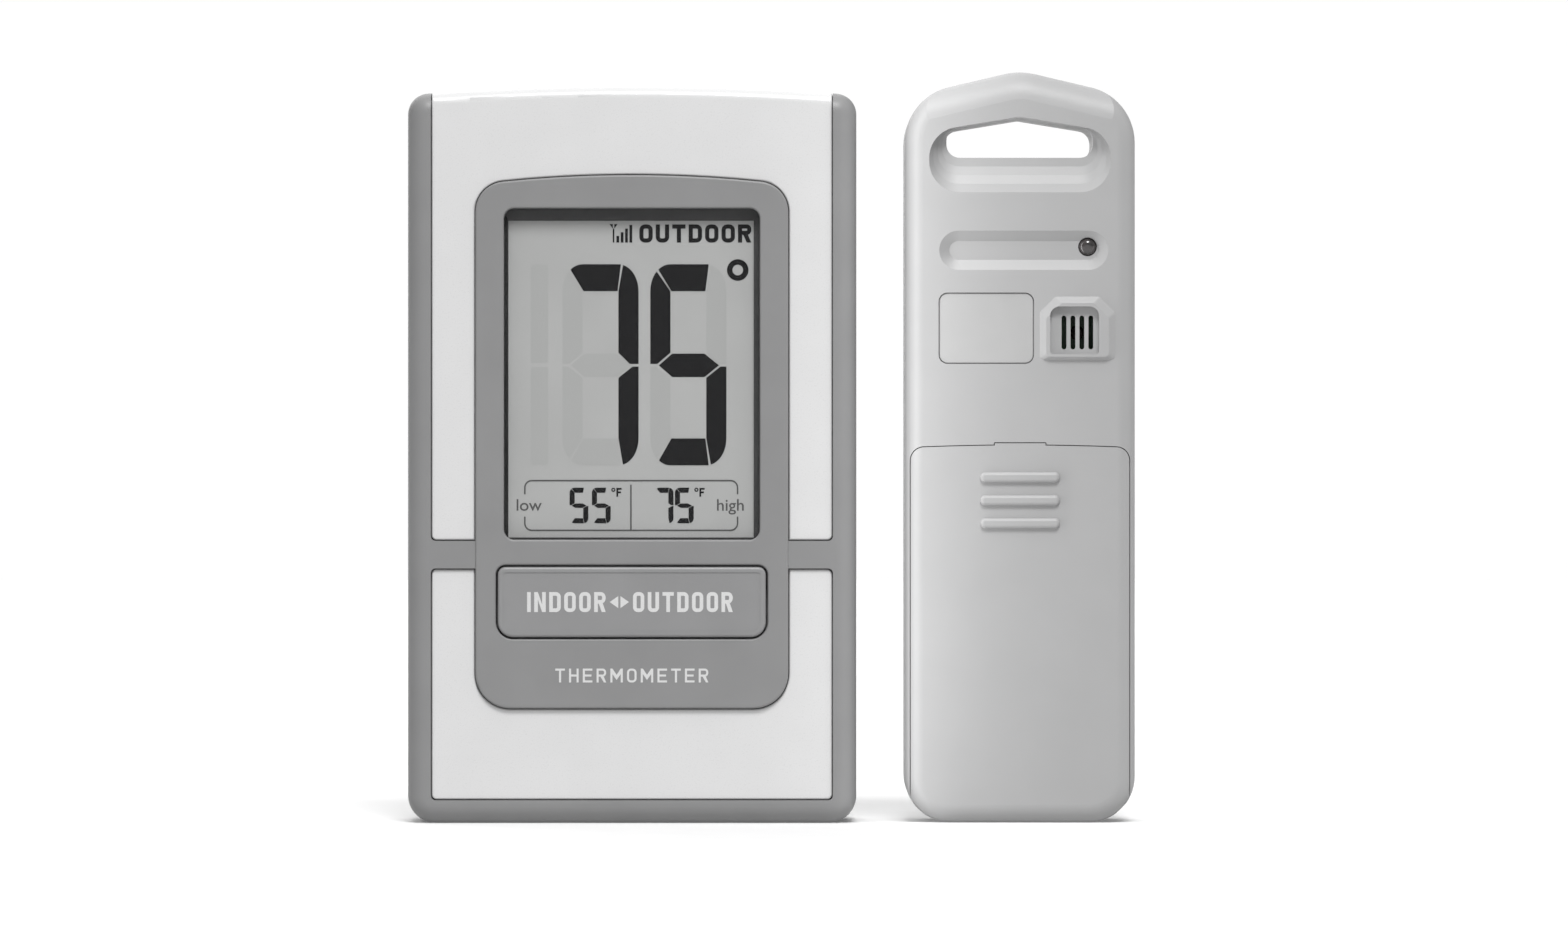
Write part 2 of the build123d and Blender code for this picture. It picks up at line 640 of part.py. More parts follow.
with BuildPart() as mode_button:
    with BuildSketch(facing(BUTTON_FLANGE_Y[1], DISPLAY_X)):
        add(button_outline())
    extrude(amount=BUTTON_FLANGE_Y[1] - BUTTON_FACE)
    fillet(mode_button.faces().sort_by(Axis.Y)[0].edges(), 0.5)
    # The face inside the rim is very slightly dished, which keeps the legend clear of fingers.
    with BuildSketch(facing(BUTTON_FACE + BUTTON_DISH, DISPLAY_X)):
        add(button_outline(-BUTTON_RIM))
    extrude(amount=BUTTON_DISH, mode=Mode.SUBTRACT)
    # The flange behind the front wall keeps the button in.
    with BuildSketch(facing(BUTTON_FLANGE_Y[1], DISPLAY_X)):
        add(button_outline(BUTTON_FLANGE))
    extrude(amount=length(BUTTON_FLANGE_Y))
    with BuildSketch(facing(BUTTON_FLANGE_Y[1], DISPLAY_X)):
        add(button_outline(-BUTTON_WALL))
    extrude(amount=BUTTON_FLANGE_Y[1] - BUTTON_FACE - BUTTON_WALL, mode=Mode.SUBTRACT)
    rod(DISPLAY_X, middle(BUTTON_Z), 2.2, (BUTTON_FACE + BUTTON_WALL - 0.2, BUTTON_POST_BACK))
    for web_x in (-11.0, 11.0):
        block(DISPLAY_X + web_x, 1.0, (BUTTON_FACE + 1.0, -8.6), (BUTTON_Z[0] + 1.2, BUTTON_Z[1] - 1.2))
mode_button.part.label = "mode_button"
export_step(mode_button.part, "parts/mode_button.step")

with BuildPart() as mode_switch:
    block(DISPLAY_X, 6.0, SWITCH_CAN_Y, (middle(BUTTON_Z) - 3.0, middle(BUTTON_Z) + 3.0))
    bore_y = (SWITCH_CAN_Y[0], PLUNGER_BACK + BUTTON_TRAVEL + 0.2)
    rod(DISPLAY_X, middle(BUTTON_Z), PLUNGER_RADIUS + 0.08, bore_y, Mode.SUBTRACT)
mode_switch.part.label = "mode_switch"
export_step(mode_switch.part, "parts/mode_switch.step")

with BuildPart() as mode_switch_plunger:
    rod(DISPLAY_X, middle(BUTTON_Z), PLUNGER_RADIUS, (BUTTON_POST_BACK, PLUNGER_BACK))
mode_switch_plunger.part.label = "mode_switch_plunger"
export_step(mode_switch_plunger.part, "parts/mode_switch_plunger.step")

# ---------------------------------------------------------------- main board and what is on it
with BuildPart() as main_board:
    with BuildSketch(facing(BOARD_BACK, DISPLAY_X, middle(BOARD_Z))):
        RectangleRounded(BOARD_WIDTH, length(BOARD_Z), 1.5)
    extrude(amount=BOARD_BACK - BOARD_FRONT)
    for hole_x, hole_z in BOARD_SCREW_AT:
        rod(DISPLAY_X + hole_x, hole_z, 1.1, (BOARD_FRONT, BOARD_BACK), Mode.SUBTRACT)
main_board.part.label = "main_board"
export_step(main_board.part, "parts/main_board.step")

with BuildPart() as board_screws:
    add_screws(BOARD_SCREW_AT, DISPLAY_X, (BOARD_BACK, BOARD_BACK + 1.2), 1.9, (-8.8, BOARD_BACK), 0.9)
board_screws.part.label = "board_screws"
export_step(board_screws.part, "parts/board_screws.step")

with BuildPart() as controller_blob:
    rod(DISPLAY_X + 6.0, 32.0, 6.5, (BOARD_BACK, BOARD_BACK + 1.8))
    fillet(controller_blob.faces().sort_by(Axis.Y)[-1].edges(), 1.6)
controller_blob.part.label = "controller_blob"
export_step(controller_blob.part, "parts/controller_blob.step")

with BuildPart() as timing_crystal:
    cross_rod(DISPLAY_X + 6.0, BOARD_BACK + 1.0, 21.0, 1.0, 6.0)
timing_crystal.part.label = "timing_crystal"
export_step(timing_crystal.part, "parts/timing_crystal.step")

with BuildPart() as supply_capacitor:
    rod(DISPLAY_X - 8.0, 24.0, 2.5, (BOARD_BACK, BOARD_BACK + 7.0))
    fillet(supply_capacitor.faces().sort_by(Axis.Y)[-1].edges(), 0.4)
supply_capacitor.part.label = "supply_capacitor"
export_step(supply_capacitor.part, "parts/supply_capacitor.step")

with BuildPart() as board_chips:
    chip_places = ((-18.0, 20.0), (-14.5, 20.0), (14.0, 24.0), (17.5, 24.0), (14.0, 40.0), (-4.0, 42.0))
    for chip_x, chip_z in chip_places:
        block(DISPLAY_X + chip_x, 2.0, (BOARD_BACK, BOARD_BACK + 0.6), (chip_z - 0.6, chip_z + 0.6))
board_chips.part.label = "board_chips"
export_step(board_chips.part, "parts/board_chips.step")

with BuildPart() as indoor_thermistor:
    bead_place = (DISPLAY_X - 24.0, 5.2, 30.0)
    with Locations(bead_place):
        Sphere(1.3)
    for lead_z in (29.5, 30.5):
        rod(DISPLAY_X - 24.0, lead_z, 0.25, (BOARD_BACK, 5.0))
indoor_thermistor.part.label = "indoor_thermistor"
export_step(indoor_thermistor.part, "parts/indoor_thermistor.step")

with BuildPart() as receiver_module:
    block(DISPLAY_X - 11.0, 14.0, (BOARD_BACK + 0.6, BOARD_BACK + 1.4), (101.0, 111.0))
    block(DISPLAY_X - 13.0, 5.0, (BOARD_BACK + 1.4, BOARD_BACK + 2.4), (103.0, 108.0))
    for pin_step in range(5):
        pin_x = DISPLAY_X - 15.0 + 2.0 * pin_step
        block(pin_x, 0.5, (BOARD_BACK, BOARD_BACK + 0.6), (101.5, 102.0))
receiver_module.part.label = "receiver_module"
export_step(receiver_module.part, "parts/receiver_module.step")

receiver_antenna = antenna_coil((DISPLAY_X + 1.0, BOARD_BACK + 2.2, 108.0), (1, 0, 0), 14.0)
receiver_antenna.label = "receiver_antenna"
export_step(receiver_antenna, "parts/receiver_antenna.step")

# ---------------------------------------------------------------- rear case
LEG_RECESS_Y = (LEG_Y[0] - MOVING_GAP, DISPLAY_BACK + BEYOND)
POST_RADIUS = 3.5

with BuildPart() as rear_case:
    with BuildSketch(facing(DISPLAY_BACK, DISPLAY_X)):
        add(display_outline())
    extrude(amount=DISPLAY_BACK - DISPLAY_SPLIT)
    fillet(rear_case.faces().sort_by(Axis.Y)[-1].edges(), REAR_ROUND)
    with BuildSketch(facing(REAR_WALL_FRONT, DISPLAY_X)):
        add(display_outline(-DISPLAY_WALL))
    extrude(amount=REAR_WALL_FRONT - DISPLAY_SPLIT, mode=Mode.SUBTRACT)
    outside, inside = display_outline(BEYOND), display_outline(-SEAM_DEPTH)
    add(seam_groove(DISPLAY_SPLIT, DISPLAY_X, outside, inside), mode=Mode.SUBTRACT)
    # Battery tray, which reaches forward nearly to the board.
    tray_outer_z = (TRAY_Z[0] - TRAY_WALL, TRAY_Z[1] + TRAY_WALL)
    block(DISPLAY_X, TRAY_INSIDE + 2 * TRAY_WALL, (TRAY_Y[0], REAR_WALL_FRONT + 0.1), tray_outer_z)
    block(DISPLAY_X, TRAY_INSIDE, (TRAY_Y[1], DISPLAY_BACK + BEYOND), TRAY_Z, Mode.SUBTRACT)
    # Recess for the battery door, with bores for its hinge pins.
    door_recess_z = (DOOR_Z[0] - 2 * MOVING_GAP, DOOR_Z[1] + MOVING_GAP)
    door_recess_y = (DOOR_Y[0] - MOVING_GAP, DISPLAY_BACK + BEYOND)
    block(DISPLAY_X, DOOR_WIDTH + 2 * MOVING_GAP, door_recess_y, door_recess_z, Mode.SUBTRACT)
    door_bore = DOOR_PIN_RADIUS + PIN_CLEARANCE
    cross_rod(DISPLAY_X, DOOR_HINGE_Y, DOOR_HINGE_Z, door_bore, DOOR_WIDTH + 3.0, Mode.SUBTRACT)
    # Thumb notch above the door.
    block(DISPLAY_X, 12.0, door_recess_y, (DOOR_Z[1], DOOR_Z[1] + 2.2), Mode.SUBTRACT)
    # Thickened wall behind the stand leg, then the leg's recess, hinge bores and thumb notch.
    block(DISPLAY_X, LEG_WIDTH + 6.0, (8.3, REAR_WALL_FRONT + 0.1), (DISPLAY_WALL - 0.5, 53.0))
    leg_recess_z = (LEG_Z[0] - MOVING_GAP, LEG_Z[1] + 2 * MOVING_GAP)
    block(DISPLAY_X, LEG_WIDTH + 2 * MOVING_GAP, LEG_RECESS_Y, leg_recess_z, Mode.SUBTRACT)
    leg_bore = LEG_PIN_RADIUS + PIN_CLEARANCE
    leg_bore_span = LEG_WIDTH + 2 * LEG_PIN_LENGTH + 2 * MOVING_GAP
    cross_rod(DISPLAY_X, LEG_HINGE_Y, LEG_HINGE_Z, leg_bore, leg_bore_span, Mode.SUBTRACT)
    rod(DISPLAY_X, 0.0, 7.0, LEG_RECESS_Y, Mode.SUBTRACT)
    # Screw posts, counterbored from the back.
    for post_x, post_z in CASE_SCREW_AT:
        rod(DISPLAY_X + post_x, post_z, POST_RADIUS, (DISPLAY_SPLIT, REAR_WALL_FRONT + 0.1))
        rod(DISPLAY_X + post_x, post_z, 2.5, (1.5, DISPLAY_BACK + BEYOND), Mode.SUBTRACT)
        rod(DISPLAY_X + post_x, post_z, 1.4, (DISPLAY_SPLIT, 1.5), Mode.SUBTRACT)
    # Keyhole for hanging on a wall screw.
    rod(DISPLAY_X, KEYHOLE_Z, KEYHOLE_RADIUS, (REAR_WALL_FRONT, DISPLAY_BACK), Mode.SUBTRACT)
    keyhole_slot_z = (KEYHOLE_Z, KEYHOLE_SLOT_TOP - KEYHOLE_SLOT_RADIUS)
    keyhole_y = (REAR_WALL_FRONT, DISPLAY_BACK)
    block(DISPLAY_X, 2 * KEYHOLE_SLOT_RADIUS, keyhole_y, keyhole_slot_z, Mode.SUBTRACT)
    rod(DISPLAY_X, keyhole_slot_z[1], KEYHOLE_SLOT_RADIUS, keyhole_y, Mode.SUBTRACT)
    # Openings for the two switch knobs.
    for switch_x, travel in ((CHANNEL_SWITCH_X, CHANNEL_TRAVEL), (UNIT_SWITCH_X, UNIT_TRAVEL)):
        slot_width = SWITCH_KNOB[0] + travel + 2 * MOVING_GAP
        slot_z = (SWITCH_Z - SWITCH_KNOB[1] / 2 - MOVING_GAP, SWITCH_Z + SWITCH_KNOB[1] / 2 + MOVING_GAP)
        block(switch_x + travel / 2, slot_width, keyhole_y, slot_z, Mode.SUBTRACT)
    # Vent slots over the indoor temperature bead.
    for slot_step in range(5):
        vent_x = DISPLAY_X - 28.0 + 2.4 * slot_step
        block(vent_x, 1.2, keyhole_y, (24.0, 36.0), Mode.SUBTRACT)
rear_case.part.label = "rear_case"
export_step(rear_case.part, "parts/rear_case.step")

with BuildPart() as case_screws:
    add_screws(CASE_SCREW_AT, DISPLAY_X, (1.5, 3.3), 2.2, (-7.2, 1.5), 1.1)
case_screws.part.label = "case_screws"
export_step(case_screws.part, "parts/case_screws.step")

# ---------------------------------------------------------------- battery door and stand leg
with BuildPart() as battery_door:
    block(DISPLAY_X, DOOR_WIDTH, DOOR_Y, DOOR_Z)
    fillet(battery_door.edges().filter_by(Axis.X).group_by(Axis.Z)[0], 0.6)
    cross_rod(DISPLAY_X, DOOR_HINGE_Y, DOOR_HINGE_Z, DOOR_PIN_RADIUS, DOOR_WIDTH + 2.2)
    # Thumb ridges near the upper edge, sunk so that they stay flush.
    for groove_step in range(5):
        groove_z = DOOR_Z[1] - 2.4 - 1.3 * groove_step
        block(DISPLAY_X, 12.0, (DOOR_Y[1] - 0.4, DOOR_Y[1]), (groove_z - 0.3, groove_z + 0.3), Mode.SUBTRACT)
battery_door.part.label = "battery_door"
export_step(battery_door.part, "parts/battery_door.step")

with BuildPart() as stand_leg:
    with BuildSketch(facing(LEG_Y[1], DISPLAY_X, middle(LEG_Z))) as leg_face:
        Rectangle(LEG_WIDTH, length(LEG_Z))
        fillet(leg_face.vertices().group_by(Axis.Y)[0], 3.0)
    extrude(amount=length(LEG_Y))
    fillet(stand_leg.edges().filter_by(Axis.X).group_by(Axis.Z)[-1], 1.05)
    cross_rod(DISPLAY_X, LEG_HINGE_Y, LEG_HINGE_Z, LEG_PIN_RADIUS, LEG_WIDTH + 2 * LEG_PIN_LENGTH)
    # A shallow field in the outer face leaves a stiff rim and two ribs.
    for field_x in (-9.2, 0.0, 9.2):
        field_z = (LEG_Z[0] + 9.0, LEG_Z[1] - 4.0)
        block(DISPLAY_X + field_x, 7.6, (LEG_Y[1] - 0.9, LEG_Y[1]), field_z, Mode.SUBTRACT)
    for groove_step in range(3):
        groove_z = LEG_Z[0] + 2.0 + 1.6 * groove_step
        block(DISPLAY_X, 12.0, (LEG_Y[1] - 0.5, LEG_Y[1]), (groove_z - 0.35, groove_z + 0.35), Mode.SUBTRACT)
stand_leg.part.label = "stand_leg"
export_step(stand_leg.part, "parts/stand_leg.step")

# ---------------------------------------------------------------- display cells and contacts
TRAY_LEFT = DISPLAY_X - TRAY_INSIDE / 2
TRAY_RIGHT = DISPLAY_X + TRAY_INSIDE / 2
LOWER_CELL_Z = TRAY_MIDDLE - CELL_PITCH / 2
UPPER_CELL_Z = TRAY_MIDDLE + CELL_PITCH / 2
SPRING_LENGTH = TRAY_INSIDE - 2 * CONTACT_THICKNESS - CELL_LENGTH
SPRING_PITCH = 1.2
CONTACT_Y = (CELL_Y - 5.0, CELL_Y + 5.0)

lower_cell = cell((TRAY_RIGHT - CONTACT_THICKNESS, CELL_Y, LOWER_CELL_Z), (-1, 0, 0))
upper_cell = cell((TRAY_LEFT + CONTACT_THICKNESS, CELL_Y, UPPER_CELL_Z), (1, 0, 0))
for cell_name, cell_part in (("display_cell_lower", lower_cell), ("display_cell_upper", upper_cell)):
    cell_part.label = cell_name
    export_step(cell_part, f"parts/{cell_name}.step")

with BuildPart() as battery_springs:
    left_foot = (TRAY_LEFT + CONTACT_THICKNESS, CELL_Y, LOWER_CELL_Z)
    right_foot = (TRAY_RIGHT - CONTACT_THICKNESS, CELL_Y, UPPER_CELL_Z)
    add(cell_spring(left_foot, (1, 0, 0), SPRING_LENGTH, SPRING_PITCH))
    add(cell_spring(right_foot, (-1, 0, 0), SPRING_LENGTH, SPRING_PITCH))
battery_springs.part.label = "battery_springs"
export_step(battery_springs.part, "parts/battery_springs.step")

# One long plate links the cells in series; two short ones are the supply terminals.
with BuildPart() as battery_contacts:
    link_z = (LOWER_CELL_Z - 5.0, UPPER_CELL_Z + 5.0)
    block(TRAY_LEFT + CONTACT_THICKNESS / 2, CONTACT_THICKNESS, CONTACT_Y, link_z)
    for terminal_z in (LOWER_CELL_Z, UPPER_CELL_Z):
        terminal_limits = (terminal_z - 5.0, terminal_z + 5.0)
        block(TRAY_RIGHT - CONTACT_THICKNESS / 2, CONTACT_THICKNESS, CONTACT_Y, terminal_limits)
battery_contacts.part.label = "battery_contacts"
export_step(battery_contacts.part, "parts/battery_contacts.step")

# ---------------------------------------------------------------- display slide switches
SWITCH_BOARD_Y = (6.2, 7.2)
SWITCH_BODY_Y = (7.2, 10.0)
KNOB_ROOT_Y = (8.9, 10.4)
KNOB_HANDLE_Y = (10.4, 12.2)

with BuildPart() as switch_board:
    block(DISPLAY_X + 1.0, 44.0, SWITCH_BOARD_Y, (91.6, 99.6))
switch_board.part.label = "switch_board"
export_step(switch_board.part, "parts/switch_board.step")

with BuildPart() as channel_switch_body:
    add_slide_switch(CHANNEL_SWITCH_X, SWITCH_Z, SWITCH_BODY_Y, CHANNEL_TRAVEL)
channel_switch_body.part.label = "channel_switch_body"
export_step(channel_switch_body.part, "parts/channel_switch_body.step")

with BuildPart() as channel_switch_knob:
    add_switch_knob(CHANNEL_SWITCH_X, SWITCH_Z, KNOB_ROOT_Y, KNOB_HANDLE_Y)
channel_switch_knob.part.label = "channel_switch_knob"
export_step(channel_switch_knob.part, "parts/channel_switch_knob.step")

with BuildPart() as unit_switch_body:
    add_slide_switch(UNIT_SWITCH_X, SWITCH_Z, SWITCH_BODY_Y, UNIT_TRAVEL)
unit_switch_body.part.label = "unit_switch_body"
export_step(unit_switch_body.part, "parts/unit_switch_body.step")

with BuildPart() as unit_switch_knob:
    add_switch_knob(UNIT_SWITCH_X, SWITCH_Z, KNOB_ROOT_Y, KNOB_HANDLE_Y)
unit_switch_knob.part.label = "unit_switch_knob"
export_step(unit_switch_knob.part, "parts/unit_switch_knob.step")

# ================================================================ sensor unit
# ---------------------------------------------------------------- sensor front case
RAIL_NECK_Y = (COVER_BACK, -6.2)
RAIL_HOOK_Y = (-6.9, -6.2)

with BuildPart() as sensor_front_case:
    add(sensor_front_blank())
    # The room behind the front wall for the board.
    with BuildSketch(facing(SENSOR_SPLIT, SENSOR_X)):
        add(sensor_outline(-SENSOR_WALL))
        with Locations((0, middle(ROOM_Z))):
            Rectangle(SENSOR_WIDTH, length(ROOM_Z), mode=Mode.INTERSECT)
    extrude(amount=SENSOR_SPLIT - SENSOR_WALL_BACK, mode=Mode.SUBTRACT)
    # The battery tray reaches back into the rear case.
    with BuildSketch(facing(8.4, SENSOR_X)):
        add(sensor_outline(-SENSOR_WALL - MOVING_GAP))
        with Locations((0, SENSOR_TRAY_Z[1] + 2.0)):
            tray_top = SENSOR_TRAY_Z[1] + 2.0
            Rectangle(SENSOR_TRAY_WIDTH + 3.6, tray_top, align=(Align.CENTER, Align.MAX), mode=Mode.INTERSECT)
    extrude(amount=8.4 - SENSOR_SPLIT)
    tray_cut_y = (SENSOR_FRONT - BEYOND, SENSOR_TRAY_BACK)
    block(SENSOR_X, SENSOR_TRAY_WIDTH, tray_cut_y, SENSOR_TRAY_Z, Mode.SUBTRACT)
    # The seat that the battery cover slides in.
    with BuildSketch(facing(COVER_SEAT, SENSOR_X)):
        add(cover_outline(COVER_GAP))
    extrude(amount=COVER_SEAT - SENSOR_FRONT + BEYOND, mode=Mode.SUBTRACT)
    # Hooked grooves for the cover's rails, open at the foot.
    for side in (-1, 1):
        groove_z = (-BEYOND, RAIL_Z[1] + 1.5)
        neck_y = (COVER_SEAT - 1.0, RAIL_NECK_Y[1] + MOVING_GAP)
        neck_width = RAIL_NECK + 2 * MOVING_GAP
        block(SENSOR_X + side * RAIL_NECK_X, neck_width, neck_y, groove_z, Mode.SUBTRACT)
        hook_x = RAIL_NECK_X + RAIL_NECK / 2 + MOVING_GAP + RAIL_HOOK / 2
        hook_y = (RAIL_HOOK_Y[0] - MOVING_GAP, RAIL_HOOK_Y[1] + MOVING_GAP)
        block(SENSOR_X + side * hook_x, RAIL_HOOK + 0.02, hook_y, groove_z, Mode.SUBTRACT)
    # Hanging loop, with a cove round its foot and ends that is steepest at the front face.
    with BuildSketch(facing(SENSOR_SPLIT, SENSOR_X)):
        add(loop_outline())
    extrude(amount=SENSOR_SPLIT - SENSOR_FRONT + BEYOND, mode=Mode.SUBTRACT)
    for cove_step in range(COVE_STEPS):
        add(cove_slice(cove_step), mode=Mode.SUBTRACT)
    # Bevelled pill-shaped recess with the signal lamp's hole at its right end.
    with BuildSketch(facing(SENSOR_FRONT, PILL_X, PILL_Z)):
        SlotOverall(PILL_SIZE[0], PILL_SIZE[1])
    with BuildSketch(facing(SENSOR_FRONT + PILL_DEPTH, PILL_X, PILL_Z)):
        SlotOverall(PILL_SIZE[0] - 2 * PILL_BEVEL, PILL_SIZE[1] - 2 * PILL_BEVEL)
    loft(mode=Mode.SUBTRACT)
    rod(LED_X, LED_Z, LED_RADIUS + SCREW_FIT, (SENSOR_FRONT - BEYOND, SENSOR_WALL_BACK), Mode.SUBTRACT)
    # Recess for the label plate.
    with BuildSketch(facing(SENSOR_FRONT + PLATE_RECESS, PLATE_X, PLATE_Z)):
        RectangleRounded(PLATE_SIZE[0], PLATE_SIZE[1], PLATE_RADIUS)
    extrude(amount=PLATE_RECESS + BEYOND, mode=Mode.SUBTRACT)
    # Raised vent scoop with sloped upper corners, an inner recess and four slots.
    with BuildSketch(facing(SENSOR_FRONT + 0.2, SCOOP_X)):
        add(scoop_outline(SCOOP_WIDTH / 2, SCOOP_Z))
    rim_z = (SCOOP_Z[0] + SCOOP_BEVEL[1], SCOOP_Z[1] - SCOOP_BEVEL[2])
    with BuildSketch(facing(SCOOP_FACE, SCOOP_X)):
        add(scoop_outline(SCOOP_WIDTH / 2 - SCOOP_BEVEL[0], rim_z))
    loft()
    fillet(sensor_front_case.faces().sort_by(Axis.Y)[0].edges(), SCOOP_RIM_ROUND)
    with BuildSketch(facing(SCOOP_FLOOR, SCOOP_RECESS_X, middle(SCOOP_RECESS_Z))) as scoop_recess:
        Rectangle(SCOOP_RECESS_WIDTH, length(SCOOP_RECESS_Z))
        fillet(scoop_recess.vertices().group_by(Axis.Y)[-1], 1.6)
        fillet(scoop_recess.vertices().group_by(Axis.Y)[0], 0.6)
    extrude(amount=SCOOP_FLOOR - SCOOP_FACE + BEYOND, mode=Mode.SUBTRACT)
    with BuildSketch(facing(SENSOR_WALL_BACK, SCOOP_X, VENT_Z)):
        with GridLocations(VENT_PITCH, 1, VENT_COUNT, 1):
            SlotOverall(VENT_SLOT[1], VENT_SLOT[0], rotation=90)
    extrude(amount=SENSOR_WALL_BACK - SCOOP_FACE + BEYOND, mode=Mode.SUBTRACT)
    # Screw bosses; the upper two are drilled into the solid loop end.
    for boss_x, boss_z in SENSOR_SCREW_AT[2:]:
        rod(SENSOR_X + boss_x, boss_z, SENSOR_POST_RADIUS, (SENSOR_WALL_BACK - 0.5, SENSOR_SPLIT))
    for boss_x, boss_z in SENSOR_SCREW_AT:
        rod(SENSOR_X + boss_x, boss_z, 1.1 + SCREW_FIT, (-4.4, SENSOR_SPLIT), Mode.SUBTRACT)
sensor_front_case.part.label = "sensor_front_case"
export_step(sensor_front_case.part, "parts/sensor_front_case.step")

# ---------------------------------------------------------------- sensor rear case and seal
SEAL_INSETS = (-0.7, -1.4)
SEAL_Y = (SENSOR_SPLIT, SENSOR_SPLIT + 0.8)

with BuildPart() as sensor_rear_case:
    with BuildSketch(facing(SENSOR_BACK, SENSOR_X)):
        add(sensor_outline())
    extrude(amount=SENSOR_BACK - SENSOR_SPLIT)
    fillet(sensor_rear_case.faces().sort_by(Axis.Y)[-1].edges(), SENSOR_REAR_ROUND)
    with BuildSketch(facing(SENSOR_REAR_WALL_FRONT, SENSOR_X)):
        add(sensor_outline(-SENSOR_WALL))
        with Locations((0, ROOM_Z[1])):
            Rectangle(SENSOR_WIDTH, ROOM_Z[1], align=(Align.CENTER, Align.MAX), mode=Mode.INTERSECT)
    extrude(amount=SENSOR_REAR_WALL_FRONT - SENSOR_SPLIT, mode=Mode.SUBTRACT)
    with BuildSketch(facing(SENSOR_BACK, SENSOR_X)):
        add(loop_outline())
    extrude(amount=SENSOR_BACK - SENSOR_SPLIT, mode=Mode.SUBTRACT)
    outside, inside = sensor_outline(BEYOND), sensor_outline(-SEAM_DEPTH)
    add(seam_groove(SENSOR_SPLIT, SENSOR_X, outside, inside), mode=Mode.SUBTRACT)
    # Groove for the seal at the joint line.
    with BuildSketch(facing(SEAL_Y[1], SENSOR_X)):
        add(sensor_outline(SEAL_INSETS[0]))
        add(sensor_outline(SEAL_INSETS[1]), mode=Mode.SUBTRACT)
    extrude(amount=length(SEAL_Y), mode=Mode.SUBTRACT)
    # Screw posts and board posts.
    for post_x, post_z in SENSOR_SCREW_AT:
        rod(SENSOR_X + post_x, post_z, SENSOR_POST_RADIUS, (SENSOR_SPLIT, SENSOR_REAR_WALL_FRONT + 0.1))
        rod(SENSOR_X + post_x, post_z, 2.3, (4.6, SENSOR_BACK + BEYOND), Mode.SUBTRACT)
        rod(SENSOR_X + post_x, post_z, 1.35, (SENSOR_SPLIT, 4.6), Mode.SUBTRACT)
    for post_x, post_z in SENSOR_BOARD_SCREW_AT:
        rod(SENSOR_X + post_x, post_z, 1.9, (SENSOR_BOARD_Y[1], SENSOR_REAR_WALL_FRONT + 0.1))
        rod(SENSOR_X + post_x, post_z, 0.8 + SCREW_FIT, (SENSOR_BOARD_Y[1], 8.4), Mode.SUBTRACT)
    # Opening for the channel knob.
    knob_slot_x = SENSOR_SWITCH_X + SENSOR_CHANNEL_TRAVEL / 2
    knob_slot_width = SWITCH_KNOB[0] + SENSOR_CHANNEL_TRAVEL + 2 * MOVING_GAP
    knob_half = SWITCH_KNOB[1] / 2 + MOVING_GAP
    knob_slot_z = (SENSOR_SWITCH_Z - knob_half, SENSOR_SWITCH_Z + knob_half)
    block(knob_slot_x, knob_slot_width, (SENSOR_REAR_WALL_FRONT, SENSOR_BACK), knob_slot_z, Mode.SUBTRACT)
sensor_rear_case.part.label = "sensor_rear_case"
export_step(sensor_rear_case.part, "parts/sensor_rear_case.step")

with BuildPart() as sensor_case_seal:
    with BuildSketch(facing(SEAL_Y[1], SENSOR_X)):
        add(sensor_outline(SEAL_INSETS[0]))
        add(sensor_outline(SEAL_INSETS[1]), mode=Mode.SUBTRACT)
    extrude(amount=length(SEAL_Y))
sensor_case_seal.part.label = "sensor_case_seal"
export_step(sensor_case_seal.part, "parts/sensor_case_seal.step")

with BuildPart() as sensor_case_screws:
    add_screws(SENSOR_SCREW_AT, SENSOR_X, (4.6, 6.3), 2.0, (-4.2, 4.6), 1.1)
sensor_case_screws.part.label = "sensor_case_screws"
export_step(sensor_case_screws.part, "parts/sensor_case_screws.step")

# ---------------------------------------------------------------- sensor battery cover and label plate
with BuildPart() as sensor_battery_cover:
    add(sensor_front_blank())
    with BuildSketch(facing(COVER_BACK, SENSOR_X)):
        add(cover_outline())
    extrude(amount=COVER_BACK - SENSOR_FRONT + BEYOND, mode=Mode.INTERSECT)
    # Grip ribs.
    for rib_z in RIB_Z:
        with BuildSketch(facing(SENSOR_FRONT + 0.5, SENSOR_X, rib_z)):
            RectangleRounded(RIB_SIZE[0], RIB_SIZE[1], RIB_SIZE[1] / 2 - 0.05)
        extrude(amount=RIB_HEIGHT + 0.5)
    fillet(sensor_battery_cover.faces().filter_by(Axis.Y).group_by(Axis.Y)[0].edges(), RIB_ROUND)
    # Hooked rails that hold the cover to the case.
    for side in (-1, 1):
        block(SENSOR_X + side * RAIL_NECK_X, RAIL_NECK, (COVER_BACK - 0.3, RAIL_NECK_Y[1]), RAIL_Z)
        hook_x = RAIL_NECK_X + RAIL_NECK / 2 + RAIL_HOOK / 2
        block(SENSOR_X + side * hook_x, RAIL_HOOK + 0.02, RAIL_HOOK_Y, RAIL_Z)
sensor_battery_cover.part.label = "sensor_battery_cover"
export_step(sensor_battery_cover.part, "parts/sensor_battery_cover.step")

with BuildPart() as sensor_label_plate:
    plate_back = SENSOR_FRONT + PLATE_RECESS
    with BuildSketch(facing(plate_back, PLATE_X, PLATE_Z)):
        plate_width = PLATE_SIZE[0] - 2 * PLATE_GAP
        plate_height = PLATE_SIZE[1] - 2 * PLATE_GAP
        RectangleRounded(plate_width, plate_height, PLATE_RADIUS - PLATE_GAP)
    extrude(amount=PLATE_THICKNESS)
    fillet(sensor_label_plate.faces().sort_by(Axis.Y)[0].edges(), 0.2)
sensor_label_plate.part.label = "sensor_label_plate"
export_step(sensor_label_plate.part, "parts/sensor_label_plate.step")

